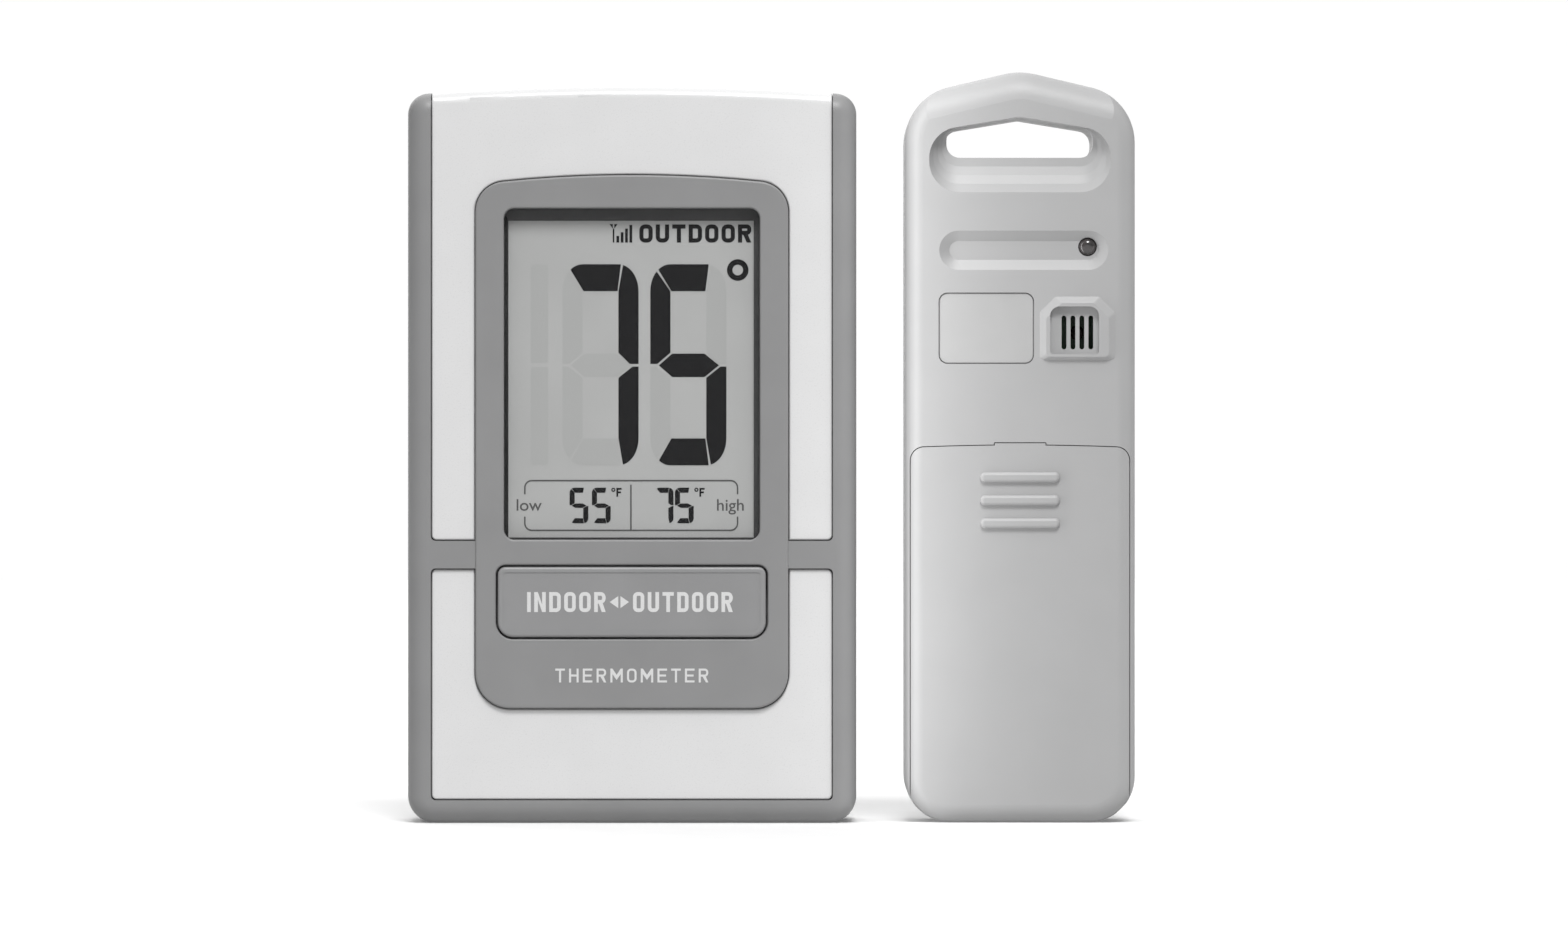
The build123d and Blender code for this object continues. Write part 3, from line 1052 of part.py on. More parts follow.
# ---------------------------------------------------------------- sensor board and what is on it
with BuildPart() as sensor_board:
    with BuildSketch(facing(SENSOR_BOARD_Y[1], SENSOR_X, middle(SENSOR_BOARD_Z))):
        RectangleRounded(SENSOR_BOARD_WIDTH, length(SENSOR_BOARD_Z), 1.0)
    extrude(amount=length(SENSOR_BOARD_Y))
    for hole_x, hole_z in SENSOR_BOARD_SCREW_AT:
        rod(SENSOR_X + hole_x, hole_z, 1.0, SENSOR_BOARD_Y, Mode.SUBTRACT)
sensor_board.part.label = "sensor_board"
export_step(sensor_board.part, "parts/sensor_board.step")

# These screws go in from the front, so they are turned round against the case screws.
with BuildPart() as sensor_board_screws:
    for screw_x, screw_z in SENSOR_BOARD_SCREW_AT:
        rod(SENSOR_X + screw_x, screw_z, 1.7, (SENSOR_BOARD_Y[0] - 1.1, SENSOR_BOARD_Y[0]))
        rod(SENSOR_X + screw_x, screw_z, 0.8, (SENSOR_BOARD_Y[0], 8.2))
sensor_board_screws.part.label = "sensor_board_screws"
export_step(sensor_board_screws.part, "parts/sensor_board_screws.step")

with BuildPart() as sensor_led:
    rod(LED_X, LED_Z, LED_RADIUS, (-9.6, -6.0))
    fillet(sensor_led.faces().sort_by(Axis.Y)[0].edges(), 1.2)
    rod(LED_X, LED_Z, LED_RADIUS + 0.4, (-7.9, -6.0))
    for lead_x in (-0.6, 0.6):
        rod(LED_X + lead_x, LED_Z, 0.25, (-6.2, SENSOR_BOARD_Y[0]))
sensor_led.part.label = "sensor_led"
export_step(sensor_led.part, "parts/sensor_led.step")

with BuildPart() as sensor_thermistor:
    with Locations((SCOOP_X, -5.4, VENT_Z)):
        Sphere(1.2)
    for lead_z in (VENT_Z - 0.5, VENT_Z + 0.5):
        rod(SCOOP_X, lead_z, 0.25, (-5.2, SENSOR_BOARD_Y[0]))
sensor_thermistor.part.label = "sensor_thermistor"
export_step(sensor_thermistor.part, "parts/sensor_thermistor.step")

with BuildPart() as sensor_chip:
    block(SENSOR_X - 4.0, 6.0, (SENSOR_BOARD_Y[0] - 1.4, SENSOR_BOARD_Y[0]), (84.0, 90.0))
    for chip_x, chip_z in ((-11.0, 80.0), (-11.0, 84.0), (-11.0, 88.0), (3.0, 92.0)):
        chip_limits = (chip_z - 0.6, chip_z + 0.6)
        block(SENSOR_X + chip_x, 1.8, (SENSOR_BOARD_Y[0] - 0.6, SENSOR_BOARD_Y[0]), chip_limits)
sensor_chip.part.label = "sensor_chip"
export_step(sensor_chip.part, "parts/sensor_chip.step")

with BuildPart() as sensor_crystal:
    cross_rod(SENSOR_X - 4.0, SENSOR_BOARD_Y[0] - 1.5, 77.0, 1.5, 8.0)
sensor_crystal.part.label = "sensor_crystal"
export_step(sensor_crystal.part, "parts/sensor_crystal.step")

sensor_antenna = antenna_coil((SENSOR_X - 9.0, SENSOR_BOARD_Y[0] - 2.1, 99.0), (1, 0, 0), 15.0)
sensor_antenna.label = "sensor_antenna"
export_step(sensor_antenna, "parts/sensor_antenna.step")

SENSOR_SWITCH_Y = (SENSOR_BOARD_Y[1], 8.4)

with BuildPart() as sensor_switch_body:
    add_slide_switch(SENSOR_SWITCH_X, SENSOR_SWITCH_Z, SENSOR_SWITCH_Y, SENSOR_CHANNEL_TRAVEL)
sensor_switch_body.part.label = "sensor_switch_body"
export_step(sensor_switch_body.part, "parts/sensor_switch_body.step")

with BuildPart() as sensor_switch_knob:
    add_switch_knob(SENSOR_SWITCH_X, SENSOR_SWITCH_Z, (7.3, 8.75), (8.75, 9.8))
sensor_switch_knob.part.label = "sensor_switch_knob"
export_step(sensor_switch_knob.part, "parts/sensor_switch_knob.step")

# ---------------------------------------------------------------- sensor cells and contacts
SENSOR_CELL_X = CELL_PITCH / 2
SENSOR_CONTACT_LOW = SENSOR_TRAY_Z[0] + CONTACT_THICKNESS
SENSOR_CONTACT_HIGH = SENSOR_TRAY_Z[1] - CONTACT_THICKNESS
SENSOR_SPRING_LENGTH = SENSOR_CONTACT_HIGH - SENSOR_CONTACT_LOW - CELL_LENGTH
SENSOR_SPRING_PITCH = 1.15
SENSOR_CONTACT_Y = (-5.0, 5.0)

left_cell = cell((SENSOR_X - SENSOR_CELL_X, 0, SENSOR_CONTACT_HIGH), (0, 0, -1))
right_cell = cell((SENSOR_X + SENSOR_CELL_X, 0, SENSOR_CONTACT_LOW), (0, 0, 1))
for cell_name, cell_part in (("sensor_cell_left", left_cell), ("sensor_cell_right", right_cell)):
    cell_part.label = cell_name
    export_step(cell_part, f"parts/{cell_name}.step")

with BuildPart() as sensor_battery_springs:
    low_foot = (SENSOR_X - SENSOR_CELL_X, 0, SENSOR_CONTACT_LOW)
    high_foot = (SENSOR_X + SENSOR_CELL_X, 0, SENSOR_CONTACT_HIGH)
    add(cell_spring(low_foot, (0, 0, 1), SENSOR_SPRING_LENGTH, SENSOR_SPRING_PITCH))
    add(cell_spring(high_foot, (0, 0, -1), SENSOR_SPRING_LENGTH, SENSOR_SPRING_PITCH))
sensor_battery_springs.part.label = "sensor_battery_springs"
export_step(sensor_battery_springs.part, "parts/sensor_battery_springs.step")

with BuildPart() as sensor_battery_contacts:
    block(SENSOR_X, 25.0, SENSOR_CONTACT_Y, (SENSOR_TRAY_Z[0], SENSOR_CONTACT_LOW))
    for terminal_x in (-SENSOR_CELL_X, SENSOR_CELL_X):
        block(SENSOR_X + terminal_x, 10.0, SENSOR_CONTACT_Y, (SENSOR_CONTACT_HIGH, SENSOR_TRAY_Z[1]))
sensor_battery_contacts.part.label = "sensor_battery_contacts"
export_step(sensor_battery_contacts.part, "parts/sensor_battery_contacts.step")
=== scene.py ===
import json
import math

import bmesh
import bpy
from mathutils import Matrix, Vector


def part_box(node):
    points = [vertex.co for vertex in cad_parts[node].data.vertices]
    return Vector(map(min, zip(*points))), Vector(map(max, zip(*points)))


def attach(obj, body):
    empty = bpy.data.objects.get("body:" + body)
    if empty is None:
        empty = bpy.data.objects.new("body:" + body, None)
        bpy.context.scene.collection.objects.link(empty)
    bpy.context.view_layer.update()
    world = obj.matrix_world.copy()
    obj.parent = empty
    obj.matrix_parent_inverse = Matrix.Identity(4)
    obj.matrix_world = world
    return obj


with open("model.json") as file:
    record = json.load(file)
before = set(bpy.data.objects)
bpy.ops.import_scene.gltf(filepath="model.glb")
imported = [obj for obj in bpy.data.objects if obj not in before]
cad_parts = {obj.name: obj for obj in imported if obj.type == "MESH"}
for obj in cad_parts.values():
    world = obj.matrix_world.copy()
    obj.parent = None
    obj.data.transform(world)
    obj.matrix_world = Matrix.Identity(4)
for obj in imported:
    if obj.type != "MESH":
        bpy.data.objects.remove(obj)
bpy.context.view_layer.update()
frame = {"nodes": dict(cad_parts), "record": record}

# Looks for the maximum minimum thermometer: an indoor display unit and its wireless sensor.
# Everything is in metres in the CAD frame: the units face -Y, +X is to the right, +Z is up.

MM = 0.001


def box(node):
    """Lowest and highest corner of a CAD node."""
    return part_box(node)


def mid_x(node):
    """The middle of a CAD node along X."""
    low, high = box(node)
    return (low.x + high.x) / 2


DISPLAY_X = mid_x("front_case")
BEZEL_FACE = box("front_case")[0].y
BUTTON_RIM = box("mode_button")[0].y
BUTTON_DISH = 0.12 * MM
LCD_FACE = box("lcd_front_polariser")[0].y
REAR_FACE = box("rear_case")[1].y
SENSOR_REAR_FACE = box("sensor_rear_case")[1].y

INK = 0.02 * MM
LCD_INK = 2 * INK


def across(offset):
    """The X of a point on the display, given in millimetres from its middle line."""
    return DISPLAY_X + offset * MM


# ---------------------------------------------------------------- materials
PLASTIC_IOR = 1.5
ACRYLIC_IOR = 1.49
FLOW_MARKS = 9 * MM
WEAVE_PITCH = 2.0 * MM
GLOSS_SPREAD = 0.05
COAT_ROUGHNESS = 0.08
NOISE_MIDDLE = (0.3, 0.7)


def new_material(name):
    """A new material, its node tree and its principled shader."""
    material = bpy.data.materials.new(name)
    material.use_nodes = True
    tree = material.node_tree
    return material, tree, tree.nodes["Principled BSDF"]


def add_noise(tree, grain, detail=2.0, rough=0.5, stretch=None):
    """Noise in the object's own metres, so its grain keeps one real size; stretch scales each axis."""
    place = tree.nodes.new("ShaderNodeTexCoord").outputs["Object"]
    if stretch is not None:
        scaling = tree.nodes.new("ShaderNodeMapping")
        scaling.inputs["Scale"].default_value = stretch
        tree.links.new(place, scaling.inputs["Vector"])
        place = scaling.outputs["Vector"]
    noise = tree.nodes.new("ShaderNodeTexNoise")
    noise.inputs["Scale"].default_value = 1 / grain
    noise.inputs["Detail"].default_value = detail
    noise.inputs["Roughness"].default_value = rough
    tree.links.new(place, noise.inputs["Vector"])
    return noise


def add_range(tree, noise, low, high):
    """Maps the middle of a noise's values onto a range."""
    ramp = tree.nodes.new("ShaderNodeMapRange")
    ramp.inputs["From Min"].default_value = NOISE_MIDDLE[0]
    ramp.inputs["From Max"].default_value = NOISE_MIDDLE[1]
    ramp.inputs["To Min"].default_value = low
    ramp.inputs["To Max"].default_value = high
    tree.links.new(noise.outputs["Fac"], ramp.inputs["Value"])
    return ramp.outputs["Result"]


def blend_tones(tree, shader, factor, tone_a, tone_b):
    """Base colour that goes from one tone to another with a factor socket."""
    mix = tree.nodes.new("ShaderNodeMix")
    mix.data_type = "RGBA"
    mix.inputs["A"].default_value = (*tone_a, 1)
    mix.inputs["B"].default_value = (*tone_b, 1)
    tree.links.new(factor, mix.inputs["Factor"])
    tree.links.new(mix.outputs["Result"], shader.inputs["Base Color"])


def vary_tone(tree, shader, noise, tone_a, tone_b):
    """Base colour that wanders between two tones with a noise."""
    blend_tones(tree, shader, add_range(tree, noise, 0.0, 1.0), tone_a, tone_b)


def vary_gloss(tree, shader, noise, low, high):
    """Roughness that wanders with a noise."""
    tree.links.new(add_range(tree, noise, low, high), shader.inputs["Roughness"])


def add_bump(tree, shader, pattern, strength, distance, normal=None):
    """Relief from a pattern node, on top of an earlier relief if one is given."""
    bump = tree.nodes.new("ShaderNodeBump")
    bump.inputs["Strength"].default_value = strength
    bump.inputs["Distance"].default_value = distance
    tree.links.new(pattern.outputs["Fac"], bump.inputs["Height"])
    if normal is not None:
        tree.links.new(normal, bump.inputs["Normal"])
    tree.links.new(bump.outputs["Normal"], shader.inputs["Normal"])
    return bump.outputs["Normal"]


def shade(colour, factor):
    """A colour made lighter or darker."""
    return tuple(min(1.0, c * factor) for c in colour)


def moulded_plastic(name, colour, roughness, grain=0.25 * MM, depth=0.004 * MM, coat=0.0, mottle=0.03):
    """Injection-moulded plastic: spark-eroded grain, faint flow mottling and uneven gloss."""
    material, tree, shader = new_material(name)
    fine = add_noise(tree, grain, detail=3.0, rough=0.6)
    broad = add_noise(tree, grain=FLOW_MARKS)
    vary_tone(tree, shader, broad, shade(colour, 1 - mottle), shade(colour, 1 + mottle))
    vary_gloss(tree, shader, fine, roughness - GLOSS_SPREAD, roughness + GLOSS_SPREAD)
    shader.inputs["IOR"].default_value = PLASTIC_IOR
    shader.inputs["Coat Weight"].default_value = coat
    shader.inputs["Coat Roughness"].default_value = COAT_ROUGHNESS
    waves = add_bump(tree, shader, broad, strength=0.12, distance=0.05 * MM)
    add_bump(tree, shader, fine, strength=0.6, distance=depth, normal=waves)
    return material


def printed_ink(name, colour, roughness, shine=0.5):
    """Screen-printed ink, very slightly uneven in tone and surface."""
    material, tree, shader = new_material(name)
    speck = add_noise(tree, grain=0.12 * MM)
    vary_tone(tree, shader, speck, shade(colour, 0.94), shade(colour, 1.04))
    shader.inputs["Roughness"].default_value = roughness
    shader.inputs["Specular IOR Level"].default_value = shine
    add_bump(tree, shader, speck, strength=0.3, distance=0.003 * MM)
    return material


def metal(name, colour, roughness, stretch=(1, 1, 1)):
    """Plated metal with fine drawn lines along one axis."""
    material, tree, shader = new_material(name)
    lines = add_noise(tree, grain=0.3 * MM, stretch=stretch)
    vary_tone(tree, shader, lines, shade(colour, 0.85), shade(colour, 1.05))
    vary_gloss(tree, shader, lines, roughness, roughness + 0.15)
    shader.inputs["Metallic"].default_value = 1.0
    add_bump(tree, shader, lines, strength=0.3, distance=0.004 * MM)
    return material


def clear_acrylic(name):
    """A polished clear window: nearly invisible, with its gloss kept."""
    material, tree, shader = new_material(name)
    shader.inputs["Base Color"].default_value = (0.1, 0.1, 0.1, 1)
    shader.inputs["Alpha"].default_value = 0.05
    shader.inputs["IOR"].default_value = ACRYLIC_IOR
    waves = add_noise(tree, grain=14 * MM, detail=1.0)
    vary_gloss(tree, shader, waves, low=0.02, high=0.05)
    add_bump(tree, shader, waves, strength=0.05, distance=0.02 * MM)
    return material


def silver_film(name, colour):
    """Reflective film behind the liquid crystal: a fine sparkle and a faint cloudiness."""
    material, tree, shader = new_material(name)
    sparkle = add_noise(tree, grain=0.08 * MM, detail=1.0)
    cloud = add_noise(tree, grain=12 * MM)
    vary_tone(tree, shader, cloud, shade(colour, 0.97), shade(colour, 1.03))
    vary_gloss(tree, shader, sparkle, low=0.35, high=0.55)
    shader.inputs["Specular IOR Level"].default_value = 0.1
    add_bump(tree, shader, sparkle, strength=0.2, distance=0.002 * MM)
    return material


def circuit_board(name):
    """Green solder resist with the paler laminate weave faintly showing."""
    material, tree, shader = new_material(name)
    place = tree.nodes.new("ShaderNodeTexCoord")
    weave = tree.nodes.new("ShaderNodeTexWave")
    weave.inputs["Scale"].default_value = 1 / WEAVE_PITCH
    weave.inputs["Distortion"].default_value = 1.0
    tree.links.new(place.outputs["Object"], weave.inputs["Vector"])
    blend_tones(tree, shader, weave.outputs["Fac"], (0.012, 0.12, 0.035), (0.02, 0.17, 0.05))
    shader.inputs["Roughness"].default_value = 0.3
    add_bump(tree, shader, weave, strength=0.2, distance=0.01 * MM)
    return material


def dark_epoxy(name):
    """The dark tinted epoxy of an unlit signal lamp or a sensing bead."""
    material, tree, shader = new_material(name)
    swirl = add_noise(tree, grain=1.5 * MM)
    vary_tone(tree, shader, swirl, (0.03, 0.028, 0.028), (0.06, 0.05, 0.05))
    shader.inputs["Roughness"].default_value = 0.12
    shader.inputs["Coat Weight"].default_value = 0.5
    add_bump(tree, shader, swirl, strength=0.05, distance=0.01 * MM)
    return material


FRAME_GREY = (0.25, 0.25, 0.252)
BUTTON_GREY = (0.265, 0.265, 0.268)
PANEL_WHITE = (0.7, 0.7, 0.702)
SENSOR_GREY = (0.375, 0.375, 0.377)
LABEL_GREY = (0.4, 0.4, 0.4)
# Black of the LCD bracket. The border it shows round the window also stands for the shade inside the
# window's recess: partly real black, partly painted shade.
MASK_BLACK_AND_SHADE = (0.04, 0.04, 0.041)
RUBBER_BLACK = (0.04, 0.04, 0.042)
FILM_SILVER = (0.51, 0.515, 0.51)
STEEL = (0.62, 0.62, 0.6)
BAND_SILVER = (0.6, 0.61, 0.63)
COPPER = (0.72, 0.36, 0.2)
WRAP_BLUE = (0.03, 0.06, 0.16)
PAPER_WHITE = (0.9, 0.9, 0.9)

materials = {
    "frame_grey": moulded_plastic("frame_grey", FRAME_GREY, roughness=0.42),
    "button_grey": moulded_plastic("button_grey", BUTTON_GREY, roughness=0.38, grain=0.2 * MM),
    "panel_white": moulded_plastic(
        "panel_white", PANEL_WHITE, roughness=0.3, depth=0.002 * MM, coat=0.25, mottle=0.012
    ),
    "clear_lens": clear_acrylic("clear_lens"),
    # The bracket's black border round the window: partly its real black, partly painted shade of the
    # window's recess.
    "mask_black": moulded_plastic("mask_black", MASK_BLACK_AND_SHADE, roughness=0.5),
    "lcd_film": silver_film("lcd_film", FILM_SILVER),
    "lcd_glass": clear_acrylic("lcd_glass"),
    "contact_rubber": moulded_plastic("contact_rubber", RUBBER_BLACK, roughness=0.75),
    "board_green": circuit_board("board_green"),
    "plated_steel": metal("plated_steel", STEEL, roughness=0.22, stretch=(1, 6, 1)),
    "copper_wire": metal("copper_wire", COPPER, roughness=0.25),
    "sensor_grey": moulded_plastic(
        "sensor_grey", SENSOR_GREY, roughness=0.45, grain=0.3 * MM, mottle=0.015
    ),
    "label_grey": moulded_plastic("label_grey", LABEL_GREY, roughness=0.5, grain=0.15 * MM),
    "lamp_red": dark_epoxy("lamp_red"),
    "bead_epoxy": dark_epoxy("bead_epoxy"),
    "cell_wrap": moulded_plastic("cell_wrap", WRAP_BLUE, roughness=0.25, coat=0.6),
}

slot_of_node = {part["node"]: part["material_slot"] for part in frame["record"]["subparts"]}
for node_name, node in frame["nodes"].items():
    node.data.materials.clear()
    node.data.materials.append(materials[slot_of_node[node_name]])

LCD_SHINE = 0.08
segment_ink = printed_ink("lcd_segment", (0.011, 0.011, 0.012), roughness=0.35, shine=LCD_SHINE)
ghost_ink = printed_ink("lcd_ghost", (0.475, 0.48, 0.475), roughness=0.4, shine=LCD_SHINE)
faint_ink = printed_ink("lcd_fine_print", (0.12, 0.12, 0.12), roughness=0.4, shine=LCD_SHINE)
legend_ink = printed_ink("legend_white", (0.68, 0.68, 0.68), roughness=0.5)
cell_band = metal("cell_band", BAND_SILVER, roughness=0.3)


# ---------------------------------------------------------------- making pieces
UPRIGHT = Matrix.Rotation(math.radians(90), 4, "X")
ABOUT_FACE = Matrix.Rotation(math.radians(180), 4, "Z")
FONT_WEIGHT = 0.02 * MM


def add_piece(name, mesh, material, body):
    """Puts a mesh in the scene as a piece that rides on a body."""
    mesh.name = name
    mesh.materials.clear()
    mesh.materials.append(material)
    piece = bpy.data.objects.new(name, mesh)
    bpy.context.scene.collection.objects.link(piece)
    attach(piece, body)


def curve_mesh(name, curve):
    """The mesh of a filled curve, still lying flat."""
    source = bpy.data.objects.new(name + "_source", curve)
    bpy.context.scene.collection.objects.link(source)
    bpy.context.view_layer.update()
    mesh = bpy.data.meshes.new_from_object(source)
    bpy.data.objects.remove(source)
    return mesh


def flat_piece(name, loops, front, material, body, slot, thickness=INK):
    """A thin piece from closed outlines in the (x, z) plane; inner loops become holes.

    Its visible face lies at depth front and it is thickness deep."""
    curve = bpy.data.curves.new(name, "CURVE")
    curve.dimensions = "2D"
    curve.fill_mode = "BOTH"
    curve.extrude = thickness / 2
    for loop in loops:
        spline = curve.splines.new("POLY")
        spline.points.add(len(loop) - 1)
        for point, (x, z) in zip(spline.points, loop):
            point.co = (x, z, 0, 1)
        spline.use_cyclic_u = True
    mesh = curve_mesh(name, curve)
    mesh.transform(Matrix.Translation((0, front + thickness / 2, 0)) @ UPRIGHT)
    add_piece(name, mesh, material, body)


def font_piece(name, words, place, size, material, body, squeeze=1.0, turned=False):
    """Words in the built-in face. size is the height of the em; turned faces them to the back.

    place is where the words start on their visible face, or their middle when they are turned."""
    curve = bpy.data.curves.new(name, "FONT")
    curve.body = words
    curve.size = size
    curve.offset = FONT_WEIGHT
    curve.extrude = INK / 2
    curve.align_x = "CENTER" if turned else "LEFT"
    mesh = curve_mesh(name, curve)
    mesh.transform(Matrix.Diagonal((squeeze, 1, 1, 1)))
    x, front, bottom = place
    stand = ABOUT_FACE @ UPRIGHT if turned else UPRIGHT
    middle = front - INK / 2 if turned else front + INK / 2
    mesh.transform(Matrix.Translation((x, middle, bottom)) @ stand)
    add_piece(name, mesh, material, body)


# ---------------------------------------------------------------- outlines
ARC_STEPS = 8
CORNER_STEPS = 6
RING_SIDES = 48


def arc(centre, radii, start, end, steps=ARC_STEPS):
    """Points along an elliptic arc, angles in degrees."""
    points = []
    for step in range(steps + 1):
        angle = math.radians(start + (end - start) * step / steps)
        points.append((centre[0] + radii[0] * math.cos(angle), centre[1] + radii[1] * math.sin(angle)))
    return points


def round_arc(centre, radius, start, end):
    """Points along a circular arc, angles in degrees."""
    return arc(centre, (radius, radius), start, end)


def ring(centre, outer, inner):
    """A ring's two outlines."""
    last = 360 - 360 / RING_SIDES
    return [arc(centre, (radius, radius), 0, last, RING_SIDES - 1) for radius in (outer, inner)]


def bar(x, z):
    """Outline of a plain rectangle; x and z are (low, high)."""
    return [(x[0], z[0]), (x[1], z[0]), (x[1], z[1]), (x[0], z[1])]


def rounded_box(x, z, radius):
    """Outline of a rectangle with round corners; x and z are (low, high)."""
    corners = (
        ((x[1] - radius, z[1] - radius), 0),
        ((x[0] + radius, z[1] - radius), 90),
        ((x[0] + radius, z[0] + radius), 180),
        ((x[1] - radius, z[0] + radius), 270),
    )
    points = []
    for centre, start in corners:
        points += arc(centre, (radius, radius), start, start + 90, CORNER_STEPS)
    return points


# ---------------------------------------------------------------- seven-segment digits
# Where a figure's round corners are cut between two segments, in degrees round the corner.
TOP_LEFT_CUT = 130
TOP_RIGHT_CUT = 80
LOW_RIGHT_CUT = 280
LOW_LEFT_CUT = 232
CUT_SPLIT = 3.0

# The middle bar's half height as a share of a level stroke, and how far across an upright stroke the
# slanted joints reach at the middle bar, as a share of that stroke.
HALF_BAR = 0.45
SLANTS = {"b": 0.56, "c": 0.7, "e": 0.3, "f": 0.35, "g": 0.42}

# Small trims of the middle bar's tips and lower edge, as shares of the gap.
TIP_DROP = 0.3
TIP_TRIM = 0.6
LOW_TRIM = 0.1

LIT = {"5": "afgcd", "7": "abc"}


class DigitCell:
    """One seven-segment cell with rounded outer corners and slanted joints, like printed segments."""

    def __init__(self, left, bottom, width, height, upright, level, gap):
        self.left, self.bottom = left, bottom
        self.width, self.height = width, height
        self.upright, self.level, self.gap = upright, level, gap

    def corner(self, right, top, start, end):
        """Part of the cell's rounded outline at one corner."""
        x = self.width - self.upright if right else self.upright
        z = self.height - self.level if top else self.level
        return arc((x, z), (self.upright, self.level), start, end)

    def shapes(self):
        """The seven segments by letter, clockwise from the top one, from the cell's lower left corner."""
        width, upright, level, gap = self.width, self.upright, self.level, self.gap
        inner_right, inner_top = width - upright, self.height - level
        middle = self.height / 2
        half_bar = level * HALF_BAR
        slant = {letter: upright * share for letter, share in SLANTS.items()}
        bar_start, bar_end = upright + gap, inner_right - gap
        tip_z = middle - gap * TIP_DROP
        bar_top, bar_low = middle + half_bar - gap / 2, middle - half_bar - gap * LOW_TRIM
        return {
            "a": self.corner(False, True, TOP_LEFT_CUT - CUT_SPLIT, 90)
            + self.corner(True, True, 90, TOP_RIGHT_CUT + CUT_SPLIT)
            + [(inner_right - gap / 2, inner_top), (upright + gap / 2, inner_top)],
            "b": self.corner(True, True, TOP_RIGHT_CUT - CUT_SPLIT, 0)
            + [
                (width, middle + gap / 2),
                (inner_right + slant["b"], middle + gap / 2),
                (inner_right, middle + half_bar),
                (inner_right, inner_top),
            ],
            "c": self.corner(True, False, 0, LOW_RIGHT_CUT - 360 + CUT_SPLIT)
            + [
                (inner_right, level),
                (inner_right, middle - half_bar - gap / 2),
                (inner_right + slant["c"], middle - gap),
                (width, middle - gap),
            ],
            "d": self.corner(False, False, LOW_LEFT_CUT + CUT_SPLIT, 270)
            + self.corner(True, False, 270, LOW_RIGHT_CUT - CUT_SPLIT)
            + [(inner_right - gap / 2, level), (upright + gap / 2, level)],
            "e": self.corner(False, False, LOW_LEFT_CUT - CUT_SPLIT, 180)
            + [
                (0, middle - gap),
                (slant["e"], middle - gap),
                (upright, middle - half_bar - gap / 2),
                (upright, level),
            ],
            "f": self.corner(False, True, TOP_LEFT_CUT + CUT_SPLIT, 180)
            + [
                (0, middle + gap / 2),
                (slant["f"], middle + gap / 2),
                (upright, middle + half_bar),
                (upright, inner_top),
            ],
            "g": [
                (slant["g"], tip_z),
                (bar_start, bar_top),
                (bar_end, bar_top),
                (width - slant["g"] + gap * TIP_TRIM, tip_z),
                (bar_end, bar_low),
                (bar_start, bar_low),
            ],
        }

    def outlines(self):
        """The seven segments in their place on the display."""
        placed = {}
        for letter, outline in self.shapes().items():
            placed[letter] = [(self.left + x, self.bottom + z) for x, z in outline]
        return placed


PRINT = {"front": LCD_FACE - LCD_INK, "body": "display_case", "slot": "mask_black", "thickness": LCD_INK}
GHOST = {"front": LCD_FACE - INK, "material": ghost_ink, "body": "display_case", "slot": "lcd_film"}


def show_digits(digits, bottom, size, strokes, ghosts):
    """Figures from (name, left, figure) rows, with the unlit segments faintly visible behind."""
    for name, left, figure in digits:
        outlines = DigitCell(across(left), bottom, *size, *strokes).outlines()
        lit = [outlines[letter] for letter in LIT[figure]]
        flat_piece(name, lit, material=segment_ink, **PRINT)
        unlit = [outline for letter, outline in outlines.items() if letter not in LIT[figure]]
        if ghosts:
            flat_piece(name + "_unlit", unlit, **GHOST)


# Strokes are (width of an upright one, height of a level one, gap between segments).
BIG_DIGITS = (("digit_tens", -11.53, "7"), ("digit_units", 3.02, "5"))
BIG_SIZE = (12.6 * MM, 33.3 * MM)
BIG_BOTTOM = 59.2 * MM
BIG_STROKES = (3.33 * MM, 4.45 * MM, 0.3 * MM)
show_digits(BIG_DIGITS, BIG_BOTTOM, BIG_SIZE, BIG_STROKES, ghosts=True)

# The unlit leading 1, for temperatures over a hundred.
HUNDRED_X = (across(-16.8), across(-13.9))
HUNDRED_HALVES = (
    (BIG_BOTTOM, BIG_BOTTOM + 16.3 * MM),
    (BIG_BOTTOM + 16.9 * MM, BIG_BOTTOM + BIG_SIZE[1]),
)
hundred = [rounded_box(HUNDRED_X, half, radius=0.5 * MM) for half in HUNDRED_HALVES]
flat_piece("digit_hundred_unlit", hundred, **GHOST)

SMALL_DIGITS = (
    ("low_tens", -10.35, "5"),
    ("low_units", -6.65, "5"),
    ("high_tens", 3.75, "7"),
    ("high_units", 7.1, "5"),
)
SMALL_SIZE = (3.1 * MM, 5.9 * MM)
SMALL_BOTTOM = 49.6 * MM
SMALL_STROKES = (0.84 * MM, 0.84 * MM, 0.1 * MM)
show_digits(SMALL_DIGITS, SMALL_BOTTOM, SMALL_SIZE, SMALL_STROKES, ghosts=False)


# ---------------------------------------------------------------- lettering
# Condensed capitals one unit high. Each function takes the letter's width w and its stroke s.
LETTER_ROUND = 0.42
LEAST_ROUND = 0.02


def round_radii(w, s):
    """Outer and inner corner radius of a round letter."""
    outer = w * LETTER_ROUND
    return outer, max(outer - s, LEAST_ROUND)


def middle_bar(s):
    """Bottom and top of the bar halfway up a letter."""
    return 0.5 - s / 2, 0.5 + s / 2


def letter_d(w, s):
    """A D: straight on the left, round on the right."""
    r, inner = round_radii(w, s)
    low, high = (w - r, r), (w - r, 1 - r)
    outline = [(0, 0)] + round_arc(low, r, -90, 0) + round_arc(high, r, 0, 90) + [(0, 1)]
    hole = [(s, s)] + round_arc(low, inner, -90, 0) + round_arc(high, inner, 0, 90) + [(s, 1 - s)]
    return [outline, hole]


def letter_e(w, s):
    """An E with a slightly shorter middle bar."""
    low, high = middle_bar(s)
    reach = w * 0.9
    arms = [(w, s), (s, s), (s, low), (reach, low), (reach, high), (s, high), (s, 1 - s), (w, 1 - s)]
    return [[(0, 0), (w, 0)] + arms + [(w, 1), (0, 1)]]


